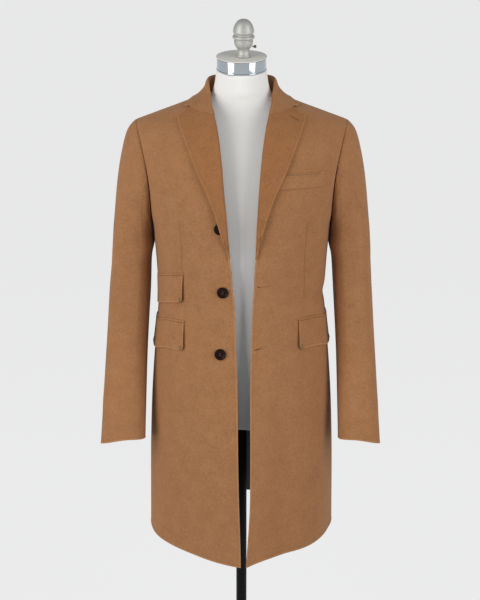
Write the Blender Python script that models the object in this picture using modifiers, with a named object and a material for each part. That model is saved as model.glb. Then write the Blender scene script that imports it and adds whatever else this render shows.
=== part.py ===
"""A single-breasted wool topcoat, open at the front, on a dress form without limbs.

Metres, +Z up, the coat's front faces -Y. The origin is the centre of the base's underside.
Left and right are the wearer's: the wearer's left is +X.
"""

import math

import bmesh
import bpy
import numpy as np
from mathutils import Matrix, Vector

for old in list(bpy.data.objects):
    bpy.data.objects.remove(old, do_unlink=True)

# Cloth
CLOTH = 0.0020
COLLAR_CLOTH = 0.0024
SEAM_GAP = 0.0003
LIE_GAP = 0.0007
CENTRE_SEAM = 0.0002
ARMHOLE_GAP = 0.0007
LEAF_OFF = COLLAR_CLOTH + 2 * LIE_GAP

# Heights of the coat above the floor, and its shoulder line
HEM_FRONT = 0.470
HEM_SIDE = 0.513
HEM_BACK = 0.517
HEM_SWEEP = {"right": 1.0, "left": 0.62}
UNDERARM = 1.195
SHOULDER_Y = 0.012
NECK_POINT_X = 0.080
NECK_POINT_Z = 1.492
SHOULDER_SLOPE = 0.365
SHOULDER_TIP_X = 0.229
NAPE_DEPTH = 0.048
FRONT_ROUND = 3.4
BACK_ROUND = 2.8

# Grid of the cut pieces
SKIRT_ROWS = 15
YOKE_ROWS = 12
YOKE_EASE = 1.7
FRONT_COLUMNS = 11
BACK_COLUMNS = 8

# Vent under the centre-back seam: the left back laps over the right one
VENT_TOP = 0.825
VENT_LAP = 0.038
VENT_RUN = 0.030
LAP_RAISE = CLOTH + 0.0020
LAP_START = VENT_TOP + 0.075
LAP_RUN = 0.060
LAP_WIDTH = 0.045

# Horizontal sections of the coat's outside: half width at the sides, depth before and behind the
# side seam, and squareness, where 2 is an ellipse.
BODY = {
    "z": (0.44, 0.56, 0.68, 0.80, 0.90, 1.00, 1.06, 1.12, 1.195, 1.26, 1.32, 1.38, 1.48),
    "half_width": (0.2105, 0.2090, 0.2075, 0.2035, 0.1970, 0.1880, 0.1840, 0.1870, 0.1925,
                   0.2040, 0.2170, 0.2300, 0.2480),
    "front": (0.184, 0.181, 0.176, 0.169, 0.162, 0.156, 0.155, 0.158, 0.164, 0.168, 0.168, 0.165, 0.160),
    "back": (0.166, 0.162, 0.154, 0.147, 0.137, 0.119, 0.109, 0.111, 0.119, 0.127, 0.131, 0.131, 0.126),
    "squareness": (2.10, 2.12, 2.18, 2.25, 2.30, 2.36, 2.40, 2.45, 2.50, 2.55, 2.60, 2.60, 2.60),
}

# Front edge of each front below the lapel, as the distance from the middle.
EDGE = {
    "z": (0.44, 0.50, 0.56, 0.64, 0.74, 0.84, 0.97, 1.06, 1.13, 1.20),
    "right": (0.0010, 0.0018, 0.0034, 0.0058, 0.0074, 0.0080, 0.0118, 0.0150, 0.0210, 0.0275),
    "left": (0.0085, 0.0115, 0.0155, 0.0185, 0.0188, 0.0182, 0.0202, 0.0235, 0.0275, 0.0300),
}

# Roll line, the fold where lapel and collar turn back.
ROLL = {
    "z": (1.13, 1.20, 1.25, 1.30, 1.35, 1.40, 1.44, 1.456, 1.471, 1.483, 1.492),
    "right": (0.0210, 0.0268, 0.0308, 0.0355, 0.0395, 0.0450, 0.0520, 0.0560, 0.0615, 0.0675, 0.0750),
    "left": (0.0275, 0.0300, 0.0325, 0.0355, 0.0395, 0.0450, 0.0520, 0.0560, 0.0615, 0.0675, 0.0750),
}
ROLL_TURN = 0.0043
BREAK = 1.150
BREAK_RUN = 0.030

# Armhole seam as seen from the front.
ARMHOLE = {
    "z": (1.195, 1.244, 1.272, 1.305, 1.347, 1.382, 1.415, 1.4376),
    "x": (0.1925, 0.1945, 0.1955, 0.1975, 0.2040, 0.2125, 0.2220, 0.2290),
}

# Soft folds of the skirt: the angle round the body from the middle front, their half width in
# degrees, how far they stand out, and the height where they begin.
FOLDS = {
    "side": (1, 1, 1, -1, -1, 1, 1, -1, -1),
    "angle": (24.0, 44.0, 74.0, 30.0, 62.0, 118.0, 150.0, 112.0, 146.0),
    "width": (9.0, 12.0, 11.0, 12.0, 13.0, 13.0, 14.0, 12.0, 15.0),
    "depth": (-0.0050, 0.0040, -0.0035, -0.0030, 0.0035, 0.0055, -0.0045, -0.0045, 0.0050),
    "start": (0.92, 0.95, 0.86, 0.88, 0.90, 0.90, 0.94, 0.88, 0.92),
}

# Sleeve rings from the upper arm to the cuff: centre, half width, half depth and the lean of the
# ring towards the body, in degrees.
SLEEVE = {
    "z": (1.165, 1.100, 1.040, 0.970, 0.900, 0.830, 0.780, 0.733),
    "x": (0.2410, 0.2445, 0.2480, 0.2518, 0.2550, 0.2572, 0.2588, 0.2602),
    "y": (0.004, 0.002, -0.003, -0.014, -0.031, -0.052, -0.068, -0.083),
    "half_width": (0.0425, 0.0420, 0.0420, 0.0420, 0.0428, 0.0440, 0.0453, 0.0467),
    "half_depth": (0.0760, 0.0725, 0.0690, 0.0645, 0.0595, 0.0550, 0.0520, 0.0495),
    "lean": (0.0, 0.0, 0.5, 1.5, 3.0, 4.5, 6.0, 7.5),
}
SLEEVE_SWING = {"right": 0.0035, "left": 0.0015}
SLEEVE_EASE = {"right": 0.0028, "left": 0.0}
SLEEVE_RINGS = 9
CAP_RINGS = 6
FRONT_SLEEVE_SEAM = 8
BACK_SLEEVE_SEAM = 17

# Dress form: sections of the torso and neck. The shoulder rows lie on the coat's shoulder line.
FORM = {
    "z": (0.765, 0.80, 0.88, 0.97, 1.06, 1.15, 1.24, 1.32, 1.39, 1.425),
    "half_width": (0.165, 0.173, 0.172, 0.161, 0.156, 0.165, 0.175, 0.182, 0.193, 0.1990),
    "front": (0.122, 0.130, 0.134, 0.130, 0.130, 0.138, 0.144, 0.138, 0.112, 0.082),
    "back": (0.108, 0.117, 0.115, 0.098, 0.086, 0.095, 0.106, 0.108, 0.094, 0.076),
    "squareness": (2.2, 2.2, 2.2, 2.2, 2.2, 2.3, 2.4, 2.4, 2.3, 2.1),
}
FORM_SEGMENTS = 28
FORM_GAP = 0.0006
FORM_SHOULDER = {
    "half_width": (0.196, 0.168, 0.138, 0.110, 0.088),
    "front": (0.060, 0.054, 0.051, 0.0505, 0.0525),
    "back": (0.058, 0.054, 0.0515, 0.0500, 0.0490),
    "squareness": (1.6, 1.6, 1.6, 1.65, 1.7),
}
NECK = {
    "z": (1.4900, 1.4985, 1.509, 1.522, 1.534, 1.546),
    "y": (-0.0010, -0.0015, -0.002, -0.003, -0.005, -0.007),
    "half_width": (0.0705, 0.0640, 0.0600, 0.0575, 0.0558, 0.0548),
    "half_depth": (0.0525, 0.0545, 0.0550, 0.0550, 0.0548, 0.0548),
    "squareness": (1.75, 1.85, 1.95, 2.0, 2.0, 2.0),
    "tilt": (1.0, 3.0, 5.0, 8.0, 10.0, 10.0),
}
NECK_TILT = 10.0

# Neck fittings, turned about the neck's leaning axis, as (radius, height) above the neck's top.
BAND_PROFILE = ((0.0, 0.0003), (0.0530, 0.0003), (0.0538, 0.0015), (0.0530, 0.0030), (0.0530, 0.0250),
                (0.0522, 0.0265), (0.0, 0.0265))
CAP_PROFILE = ((0.0, 0.0268), (0.0535, 0.0268), (0.0548, 0.0280), (0.0545, 0.0290), (0.0530, 0.0296),
               (0.0, 0.0296))
FINIAL_PROFILE = ((0.0, 0.0299), (0.0148, 0.0299), (0.0157, 0.0314), (0.0157, 0.0338), (0.0146, 0.0354),
                  (0.0132, 0.0395), (0.0128, 0.0440), (0.0138, 0.0480), (0.0168, 0.0520), (0.0193, 0.0568),
                  (0.0203, 0.0615), (0.0203, 0.0648), (0.0188, 0.0668), (0.0190, 0.0684), (0.0224, 0.0700),
                  (0.0234, 0.0729), (0.0224, 0.0757), (0.0196, 0.0775), (0.0198, 0.0795), (0.0217, 0.0815),
                  (0.0223, 0.0842), (0.0219, 0.0885), (0.0203, 0.0945), (0.0175, 0.1005), (0.0132, 0.1060),
                  (0.0074, 0.1096), (0.0, 0.1108))
FINIAL_X = 0.0042
FINIAL_Y = -0.0095
SCREW_RADIUS = 0.0030
SCREW_LENGTH = 0.0085
SCREW_HEIGHT = 0.0520
SCREW_REACH = 0.0188

# Stand
POLE_RADIUS = 0.012
POLE_TOP = FORM["z"][0] - SEAM_GAP
BASE_RADIUS = 0.190
BASE_HEIGHT = 0.012
BASE_EDGE = 0.004
POLE_FOOT = BASE_HEIGHT + SEAM_GAP
BASE_PROFILE = ((0.0, 0.0), (BASE_RADIUS - BASE_EDGE / 2, 0.0), (BASE_RADIUS, BASE_EDGE / 2),
                (BASE_RADIUS, BASE_HEIGHT - BASE_EDGE), (BASE_RADIUS - BASE_EDGE, BASE_HEIGHT),
                (0.0, BASE_HEIGHT))
POLE_PROFILE = ((0.0, POLE_FOOT), (POLE_RADIUS, POLE_FOOT), (POLE_RADIUS, POLE_TOP), (0.0, POLE_TOP))

# Pockets: front end as the distance from the middle, height of the front end's top, length round
# the body, drop, the rise towards the front and the droop towards the side.
POCKETS = {
    "name": ("ticket", "hip", "hip"),
    "side": (-1, -1, 1),
    "label": ("", "_right", "_left"),
    "front_x": (0.1245, 0.1235, 0.1225),
    "top": (1.1220, 1.0156, 1.0204),
    "length": (0.105, 0.160, 0.160),
    "drop": (0.060, 0.060, 0.0615),
    "rise": (0.010, 0.002, 0.0005),
    "droop": (0.010, 0.013, 0.010),
}
FLAP_CORNER = 0.0095
FLAP_FRONT = 0.018
POCKET_RUN = 0.055
DROOP_START = 0.042
DROOP_RUN = 0.070
FLAP_LIFT = 0.0030
JET_HEIGHT = 0.0052
JET_CLOTH = 0.0014
JET_START = 0.0006
JET_END = 0.002
WELT = {"inner": 0.0700, "outer": 0.1730, "bottom": 1.3085, "top": 1.3405, "rise": 0.0015,
        "lift": 0.0004}

# Buttons on the right front
BUTTON_GAP = 0.0006
BUTTONS = {
    "name": ("button_top", "button_middle", "button_bottom"),
    "x": (0.0455, 0.0400, 0.0455),
    "z": (1.2280, 1.0892, 0.9532),
}
BUTTON_PROFILE = ((0.0, 0.0), (0.0088, 0.0), (0.0118, 0.0010), (0.0124, 0.0021), (0.0118, 0.0034),
                  (0.0104, 0.0038), (0.0088, 0.0031), (0.0, 0.0027))

# Lapel from its lower end to the point: outer edge, the roll line's height in the same row, and how
# far the lapel stands off the front at the roll and at its edge.
LAPEL = {
    "z": (1.164, 1.200, 1.232, 1.268, 1.302, 1.336, 1.372, 1.405, 1.432, 1.4515),
    "edge": (0.0330, 0.0395, 0.0478, 0.0585, 0.0720, 0.0880, 0.1035, 0.1175, 0.1290, 0.1365),
    "roll_z": (1.162, 1.194, 1.224, 1.258, 1.290, 1.324, 1.358, 1.392, 1.426, 1.4562),
    "roll_lift": (0.0040, 0.0072, 0.0084, 0.0080, 0.0070, 0.0066, 0.0062, 0.0058, 0.0054, 0.0050),
    "edge_lift": (0.0038, 0.0072, 0.0084, 0.0078, 0.0070, 0.0070, 0.0052, 0.0042, 0.0040, 0.0040),
}
LAPEL_ACROSS = (0.20, 0.42, 0.63, 0.82, 1.0)
ROLL_SECTION = ((0.0008, 0.0), (0.0, 0.30), (0.0004, 0.68), (0.0019, 0.93), (0.0062, 1.0))
LAPEL_ROWS = 14
ROLL_FOOT = -0.0016

# Gorge seam between collar and lapel, from the roll line to the notch and on to the collar's corner.
GORGE = {"roll_x": 0.0560, "roll_z": 1.4570, "notch_x": 0.1090, "corner_x": 0.1205, "corner_z": 1.4700}

# Collar from the middle of the back to its front end. The seam and the fold are points in space,
# the leaf's edge lies on the coat: its distance from the middle and the share of the way up to the
# shoulder line, on the back up to the fourth row and on the front after it.
COLLAR = {
    "seam_x": (0.0000, 0.0380, 0.0640, 0.0775, 0.0762, 0.0712, 0.0650, 0.0590),
    "seam_y": (0.0605, 0.0515, 0.0325, 0.0120, -0.0150, -0.0450, -0.0690, -0.0915),
    "seam_z": (1.4860, 1.4880, 1.4905, 1.4930, 1.4910, 1.4835, 1.4725, 1.4562),
    "fold_x": (0.0000, 0.0380, 0.0625, 0.0690, 0.0670, 0.0635, 0.0600, 0.0560),
    "fold_y": (0.0665, 0.0575, 0.0345, 0.0100, -0.0150, -0.0400, -0.0660, -0.0965),
    "fold_z": (1.5305, 1.5305, 1.5295, 1.5265, 1.5120, 1.4955, 1.4780, 1.4580),
    "leaf_x": (0.0000, 0.0420, 0.0790, 0.1060, 0.1125, 0.1165, 0.1190, 0.1205),
    "leaf_rise": (0.905, 0.911, 0.950, 0.999, 0.9965, 0.992, 0.986, 0.9744),
    "fold_rise": (1.0, 1.0, 1.0, 1.0, 0.985, 0.950, 0.912, 0.8606),
}
LEAF_ACROSS = (0.24, 0.48, 0.74, 1.0)
COLLAR_STATIONS = 21
SHOULDER_ROW = 3.0
FLAT_ROW = 4.6
FLAT_RUN = 2.4
FOLD_RADIUS = 0.0026
STAND_BOW = 0.0006
HOLLOW_OUT = 0.0040
HOLLOW_UP = 0.0050

MATERIALS = {}
COLLECTION = bpy.data.collections.new("topcoat")
bpy.context.scene.collection.children.link(COLLECTION)


def material(name, colour, roughness, metallic=0.0):
    if name not in MATERIALS:
        made = bpy.data.materials.new(name)
        made.use_nodes = True
        shader = made.node_tree.nodes["Principled BSDF"]
        shader.inputs["Base Color"].default_value = (*colour, 1.0)
        shader.inputs["Roughness"].default_value = roughness
        shader.inputs["Metallic"].default_value = metallic
        MATERIALS[name] = made
    return MATERIALS[name]


WOOL = material("camel_wool", (0.350, 0.162, 0.066), 0.9)
HORN = material("dark_horn", (0.016, 0.009, 0.006), 0.35)
JERSEY = material("cream_jersey", (0.870, 0.850, 0.815), 0.85)
CHROME = material("chrome", (0.700, 0.720, 0.740), 0.12, 1.0)
CREAM_LACQUER = material("cream_lacquer", (0.660, 0.650, 0.590), 0.4)
PEWTER = material("pewter", (0.430, 0.430, 0.420), 0.38, 1.0)
BRASS = material("dark_brass", (0.240, 0.130, 0.060), 0.35, 1.0)
BLACK = material("black_enamel", (0.012, 0.012, 0.011), 0.45)


def smooth_at(knots, values, at):
    """Values of a smooth curve through the knots, with no overshoot between them."""
    knots = np.asarray(knots, float)
    values = np.asarray(values, float)
    if knots[0] > knots[-1]:
        knots = knots[::-1]
        values = values[::-1]
    steps = np.diff(knots)
    slopes = np.diff(values) / steps
    tangents = np.empty_like(values)
    tangents[0] = slopes[0]
    tangents[-1] = slopes[-1]
    turning = slopes[:-1] * slopes[1:] <= 0.0
    together = np.where(turning, 1.0, slopes[:-1] + slopes[1:])
    tangents[1:-1] = np.where(turning, 0.0, 2.0 * slopes[:-1] * slopes[1:] / together)
    at = np.clip(np.asarray(at, float), knots[0], knots[-1])
    low = np.clip(np.searchsorted(knots, at, side="right") - 1, 0, len(steps) - 1)
    share = (at - knots[low]) / steps[low]
    return (
        values[low] * (1 + 2 * share) * (1 - share) ** 2
        + tangents[low] * steps[low] * share * (1 - share) ** 2
        + values[low + 1] * share**2 * (3 - 2 * share)
        + tangents[low + 1] * steps[low] * share**2 * (share - 1)
    )


def body_size(name, z):
    return smooth_at(BODY["z"], BODY[name], z)


def smooth_step(share):
    share = np.clip(share, 0.0, 1.0)
    return share * share * (3.0 - 2.0 * share)


def shoulder_height(x):
    """Height of the shoulder line at this distance from the middle."""
    inside = np.maximum(NECK_POINT_X - x, 0.0)
    outside = np.maximum(x - NECK_POINT_X, 0.0)
    return NECK_POINT_Z + SHOULDER_SLOPE * (inside * (1.0 - inside / (2.0 * NECK_POINT_X)) - outside)


def fold_depth(side, angle, z):
    """How far the skirt's soft folds move the cloth out here."""
    moved = 0.0
    for row in range(len(FOLDS["side"])):
        if FOLDS["side"][row] == side:
            across = (angle - FOLDS["angle"][row]) / FOLDS["width"][row]
            down = smooth_step((FOLDS["start"][row] - z) / (FOLDS["start"][row] - HEM_FRONT))
            moved += FOLDS["depth"][row] * math.exp(-across * across) * down
    return moved


def skirt_point(side, angle, z):
    """A point of the coat's outside below the underarm; the angle runs from the front to the back."""
    half = angle if angle <= 90.0 else 180.0 - angle
    power = 2.0 / body_size("squareness", z)
    across = math.sin(math.radians(half)) ** power
    along = max(math.cos(math.radians(half)), 0.0) ** power
    depth = -body_size("front", z) if angle <= 90.0 else body_size("back", z)
    x = body_size("half_width", z) * across
    y = depth * along
    out = fold_depth(side, angle, z)
    length = math.hypot(x, y)
    return np.array([side * x * (1 + out / length), y * (1 + out / length), z])


def angle_at(x, z):
    share = np.clip(x / body_size("half_width", z), 0.0, 1.0)
    return math.degrees(math.asin(share ** (body_size("squareness", z) / 2.0)))


def yoke_point(side, front, x, rise):
    """A point above the underarm: rise is the share of the way from there up to the shoulder line."""
    z = UNDERARM + (shoulder_height(x) - UNDERARM) * rise
    square = body_size("squareness", z)
    share = min(abs(x) / body_size("half_width", z), 1.0)
    depth = -body_size("front", z) if front else body_size("back", z)
    chest = depth * (1.0 - share**square) ** (1.0 / square)
    rounding = math.sqrt(max(1.0 - rise ** (FRONT_ROUND if front else BACK_ROUND), 0.0))
    settle = smooth_step(rise / 0.35)
    ridge = SHOULDER_Y * settle
    return np.array([side * x, ridge + (chest - ridge) * rounding, z])


def yoke_rise(x, z):
    return (z - UNDERARM) / (shoulder_height(x) - UNDERARM)


def front_point(side, x, z):
    """A point of a front's outside, by its distance from the middle and its height."""
    if z > UNDERARM:
        return yoke_point(side, True, x, min(yoke_rise(x, z), 1.0))
    return skirt_point(side, angle_at(x, z), z)


def normal_of(surface, first, second, step=0.0015):
    """Unit normal of a surface of two values, pointing away from the coat's middle."""
    one = surface(first + step, second) - surface(first - step, second)
    two = surface(first, second + step) - surface(first, second - step)
    normal = np.cross(one, two)
    normal /= np.linalg.norm(normal)
    middle = surface(first, second) - np.array([0.0, 0.0, 1.25])
    return normal if normal @ (middle * (1.0, 1.0, 0.4)) > 0 else -normal


def front_normal(side, x, z):
    return normal_of(lambda a, b: front_point(side, a, b), x, z)


def link(obj, made_of):
    obj.data.materials.clear()
    obj.data.materials.append(made_of)
    COLLECTION.objects.link(obj)
    return obj


def grid_normals(points, flip):
    """Unit normals of a grid of points by its own rows and columns."""
    along = np.gradient(points, axis=0)
    across = np.gradient(points, axis=1)
    normals = np.cross(across, along)
    normals /= np.linalg.norm(normals, axis=2, keepdims=True)
    return -normals if flip else normals


def cloth(name, points, normals, wall=CLOTH):
    """A cloth wall behind a grid of points of its right side, along the normals there."""
    rows, columns, _ = points.shape
    behind = points - normals * wall
    mesh = bmesh.new()
    bmesh.ops.create_grid(mesh, x_segments=columns - 1, y_segments=rows - 1, size=1.0)
    place = mesh.verts.layers.int.new("place")
    mesh.verts.ensure_lookup_table()
    for number, vertex in enumerate(mesh.verts):
        vertex[place] = number
        vertex.co = points.reshape(-1, 3)[number]
    corner = mesh.verts[0]
    made = bmesh.ops.extrude_face_region(mesh, geom=mesh.faces[:])
    inner = [item for item in made["geom"] if isinstance(item, bmesh.types.BMVert)]
    for vertex in inner:
        vertex.co = behind.reshape(-1, 3)[vertex[place]]
    bmesh.ops.recalc_face_normals(mesh, faces=mesh.faces[:])
    right_side = next(face for face in corner.link_faces if not set(face.verts) & set(inner))
    if right_side.normal @ Vector(normals[0, 0]) < 0.0:
        bmesh.ops.reverse_faces(mesh, faces=mesh.faces[:])
    data = bpy.data.meshes.new(name)
    mesh.to_mesh(data)
    mesh.free()
    data.attributes.remove(data.attributes["place"])
    return link(bpy.data.objects.new(name, data), WOOL)


def pull_in(points, row=None, column=None, by=SEAM_GAP / 2):
    """Moves one edge of a grid towards its own inside, for half the gap of a seam."""
    if row is not None:
        edge, inside = points[row], points[1 if row == 0 else row - 1]
    else:
        edge, inside = points[:, column], points[:, 1 if column == 0 else column - 1]
    way = inside - edge
    edge += way / np.linalg.norm(way, axis=-1, keepdims=True) * by


def turned(name, profile, made_of, steps, place):
    """A round piece from a (radius, height) profile, set by a matrix."""
    data = bpy.data.meshes.new(name)
    points = [(radius, 0.0, height) for radius, height in profile]
    data.from_pydata(points, [(i, i + 1) for i in range(len(points) - 1)], [])
    obj = link(bpy.data.objects.new(name, data), made_of)
    screw = obj.modifiers.new("turn", "SCREW")
    screw.axis = "Z"
    screw.steps = steps
    screw.render_steps = steps
    screw.use_merge_vertices = True
    screw.merge_threshold = 0.00001
    screw.use_normal_flip = True
    obj.matrix_world = place
    return obj


YOKE_RISES = [1.0 - (1.0 - row / YOKE_ROWS) ** YOKE_EASE for row in range(YOKE_ROWS + 1)]


def settled(rise, angle_of):
    """A yoke point whose place across depends on its own height, found by a few rounds."""
    x = 0.1
    for _ in range(12):
        z = UNDERARM + (shoulder_height(x) - UNDERARM) * rise
        share = math.sin(math.radians(angle_of(z))) ** (2.0 / body_size("squareness", z))
        x = body_size("half_width", z) * share
    return x


def inner_edge(side, z):
    """Where a front's cloth ends towards the middle: its edge below, just outside the roll above."""
    which = "left" if side > 0 else "right"
    edge = smooth_at(EDGE["z"], EDGE[which], z)
    roll = smooth_at(ROLL["z"], ROLL[which], z) + ROLL_TURN
    return edge + (roll - edge) * smooth_step((z - BREAK) / BREAK_RUN)


def front_grid(side):
    rows = []
    for row in range(SKIRT_ROWS):
        share = row / SKIRT_ROWS
        line = []
        for column in range(FRONT_COLUMNS + 1):
            across = column / FRONT_COLUMNS
            sweep = math.sin(math.radians(90.0 * across)) ** HEM_SWEEP["left" if side > 0 else "right"]
            hem = HEM_FRONT + (HEM_SIDE - HEM_FRONT) * sweep
            z = hem + (UNDERARM - hem) * share
            start = angle_at(inner_edge(side, z), z)
            line.append(skirt_point(side, start + (90.0 - start) * across, z))
        rows.append(line)
    for rise in YOKE_RISES:
        line = []
        for column in range(FRONT_COLUMNS + 1):
            across = column / FRONT_COLUMNS

            def angle_of(z, across=across):
                start = angle_at(inner_edge(side, z), z)
                end = angle_at(smooth_at(ARMHOLE["z"], ARMHOLE["x"], z), z)
                return start + (end - start) * across

            x = settled(rise, angle_of)
            if rise == 1.0:
                x = NECK_POINT_X + (SHOULDER_TIP_X - NECK_POINT_X) * across
            line.append(yoke_point(side, True, x, rise))
        rows.append(line)
    return np.array(rows)


def neck_rise(x):
    """The share of the way up at which the back ends, at the neck seam, for this x."""
    if x >= NECK_POINT_X:
        return 1.0
    depth = NAPE_DEPTH * math.sqrt(1.0 - (x / NECK_POINT_X) ** 2)
    full = body_size("back", 1.46) - SHOULDER_Y
    return max(1.0 - (depth / full) ** 2, 0.0) ** (1.0 / BACK_ROUND)


def back_grid(side):
    lapped = side > 0
    rows = []
    for row in range(SKIRT_ROWS):
        share = row / SKIRT_ROWS
        line = []
        for column in range(BACK_COLUMNS + 1):
            across = column / BACK_COLUMNS
            hem = HEM_BACK + (HEM_SIDE - HEM_BACK) * across
            z = hem + (UNDERARM - hem) * share
            centre = CENTRE_SEAM
            raised = 0.0
            if lapped:
                centre -= VENT_LAP * smooth_step((VENT_TOP - z) / VENT_RUN)
                raised = smooth_step((LAP_START - z) / LAP_RUN)
            start = math.copysign(angle_at(abs(centre), z), centre)
            angle = start + (90.0 - start) * across
            point = skirt_point(side, 180.0 - abs(angle), z)
            if angle < 0.0:
                point[0] = -point[0]
            near = 1.0 - smooth_step((side * point[0] - LAP_WIDTH) / LAP_WIDTH)
            point[1] += LAP_RAISE * raised * near
            line.append(point)
        rows.append(line)
    for rise in YOKE_RISES:
        line = []
        for column in range(BACK_COLUMNS + 1):
            across = column / BACK_COLUMNS

            def angle_of(z, across=across):
                end = angle_at(smooth_at(ARMHOLE["z"], ARMHOLE["x"], z), z)
                return 0.01 + (end - 0.01) * across

            x = settled(rise, angle_of)
            if rise == 1.0:
                x = CENTRE_SEAM + (SHOULDER_TIP_X - CENTRE_SEAM) * across
            line.append(yoke_point(side, False, max(x, CENTRE_SEAM), rise * neck_rise(x)))
        rows.append(line)
    return np.array(rows)


def bezier(first, second, third, fourth, shares):
    shares = np.asarray(shares)[:, None]
    rest = 1.0 - shares
    near = rest**3 * first + 3 * rest**2 * shares * second
    return near + 3 * rest * shares**2 * third + shares**3 * fourth


def sleeve_ring(side, z, count):
    """A ring of the sleeve, from its outer side over the front and the inside to the back."""
    sizes = {name: smooth_at(SLEEVE["z"], SLEEVE[name], z) for name in SLEEVE if name != "z"}
    low = max(z - 0.01, SLEEVE["z"][-1])
    high = min(z + 0.01, SLEEVE["z"][0])
    slope = []
    for name in ("x", "y"):
        lower, upper = smooth_at(SLEEVE["z"], SLEEVE[name], (low, high))
        slope.append((upper - lower) / (high - low))
    axis = np.array([side * slope[0], slope[1], 1.0])
    axis /= np.linalg.norm(axis)
    lean = math.radians(sizes["lean"])
    outward = np.array([side * math.cos(lean), 0.0, -math.sin(lean)])
    outward -= axis * (outward @ axis) * (1.0 - min(sizes["lean"] / 7.5, 1.0))
    outward /= np.linalg.norm(outward)
    forward = np.array([0.0, -1.0, 0.0])
    forward -= axis * (forward @ axis)
    forward /= np.linalg.norm(forward)
    which = "left" if side > 0 else "right"
    down = (SLEEVE["z"][0] - z) / (SLEEVE["z"][0] - SLEEVE["z"][-1])
    centre = np.array([side * (sizes["x"] + SLEEVE_SWING[which] * down), sizes["y"], z])
    sizes["half_width"] += SLEEVE_EASE[which] * smooth_step(4.0 * down)
    ring = []
    for step in range(count):
        turn = 2.0 * math.pi * step / count
        ring.append(
            centre
            + outward * sizes["half_width"] * math.cos(turn)
            + forward * sizes["half_depth"] * math.sin(turn)
        )
    return np.array(ring), axis


def armhole(front, back):
    """The loop of the armhole in a front's and a back's grid, from the shoulder tip down the front."""
    return np.concatenate([front[SKIRT_ROWS:, -1][::-1], back[SKIRT_ROWS + 1 : -1, -1]])


def sleeve_grid(side, front, back):
    """Rings from the armhole seam to the cuff; each starts at the shoulder tip and goes down the front."""
    seam = armhole(front, back) + np.array([side * ARMHOLE_GAP, 0.0, 0.0])
    count = len(seam)
    top, axis = sleeve_ring(side, SLEEVE["z"][0], count)
    turns = 2.0 * math.pi * np.arange(count) / count
    cap = np.empty((CAP_RINGS, count, 3))
    for step, turn in enumerate(turns):
        up = math.cos(turn)
        leave = np.array([side * (0.65 + 0.30 * up), -0.30 * math.sin(turn), -(0.65 - 0.30 * up)])
        leave /= np.linalg.norm(leave)
        reach = np.linalg.norm(top[step] - seam[step])
        first = seam[step] + leave * reach * (0.20 - 0.07 * up)
        last = top[step] + axis * reach * 0.42
        cap[:, step] = bezier(seam[step], first, last, top[step], np.arange(CAP_RINGS) / CAP_RINGS)
    heights = np.linspace(SLEEVE["z"][0], SLEEVE["z"][-1], SLEEVE_RINGS + 1)
    tube = np.array([sleeve_ring(side, z, count)[0] for z in heights])
    return np.concatenate([cap, tube])


def sleeve_normals(rings, seam_normals, flip):
    """Normals round the whole sleeve, so that both pieces of a seam share them."""
    wrapped = np.concatenate([rings[:, -1:], rings, rings[:, :1]], axis=1)
    normals = grid_normals(wrapped, flip)[:, 1:-1]
    for step, turn in enumerate(2.0 * math.pi * np.arange(rings.shape[1]) / rings.shape[1]):
        shared = smooth_step((math.cos(turn) - 0.2) / 0.5)
        normals[0, step] += (seam_normals[step] - normals[0, step]) * shared
        normals[0, step] /= np.linalg.norm(normals[0, step])
    return normals


def sleeve_piece(name, rings, normals, start, end):
    turn = [step % rings.shape[1] for step in range(start, end + 1)]
    points = rings[:, turn].copy()
    pull_in(points, column=0)
    pull_in(points, column=-1)
    return cloth(name, points, normals[:, turn])


def lapel_grid(side):
    """The lapel from the leg inside the roll over the fold to its outer edge, row by row."""
    which = "left" if side > 0 else "right"
    steps = np.arange(len(LAPEL["z"]))
    rows = []
    for at in np.linspace(0.0, len(steps) - 1.0, LAPEL_ROWS + 1):
        edge_z, edge_x, roll_z, roll_lift, edge_lift = (
            float(smooth_at(steps, LAPEL[name], at))
            for name in ("z", "edge", "roll_z", "roll_lift", "edge_lift")
        )
        roll_x = float(smooth_at(ROLL["z"], ROLL[which], roll_z))
        foot = ROLL_FOOT if roll_z > UNDERARM + 0.01 else LIE_GAP
        width = edge_x - roll_x
        shares = [(inward / width, foot + (roll_lift - foot) * up) for inward, up in ROLL_SECTION]
        start = shares[-1][0]
        for across in LAPEL_ACROSS:
            lift = roll_lift + (edge_lift - roll_lift) * across**1.5
            shares.append((start + (1.0 - start) * across, lift))
        knee = start + (1.0 - start) * LAPEL_ACROSS[2]
        gorge_z = GORGE["roll_z"] + (GORGE["corner_z"] - GORGE["roll_z"]) * (
            (GORGE["notch_x"] - GORGE["roll_x"]) / (GORGE["corner_x"] - GORGE["roll_x"])
        )
        rise = gorge_z - 0.0010 - (roll_z + (edge_z - roll_z) * knee)
        near_top = smooth_step((at - (len(steps) - 2.6)) / 1.6)
        line = []
        for share, off in shares:
            hat = share / knee if share < knee else (1.0 - share) / (1.0 - knee)
            x = roll_x + width * share
            z = roll_z + (edge_z - roll_z) * share + rise * hat * near_top
            line.append(front_point(side, x, z) + front_normal(side, x, z) * off)
        rows.append(line)
    return np.array(rows)


def rise_at(front, x, y):
    """The share of the way up at which the yoke reaches this depth."""
    low, high = 0.3, 1.0
    for _ in range(40):
        middle = 0.5 * (low + high)
        reached = yoke_point(1, front, x, middle)[1]
        if (reached < y) == front:
            low = middle
        else:
            high = middle
    return high


def over_yoke(point, out):
    """The same point, lifted where it lies less than this far above the yoke."""
    x, y, z = point
    front = y < SHOULDER_Y
    rise = min(rise_at(front, x, y), 0.999)
    under = yoke_point(1, front, x, rise)
    normal = normal_of(lambda a, b: yoke_point(1, front, a, min(b, 1.0)), x, min(rise, 0.998))
    return np.array([x, y, max(z, under[2] + out / max(abs(normal[2]), 0.35))])


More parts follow.
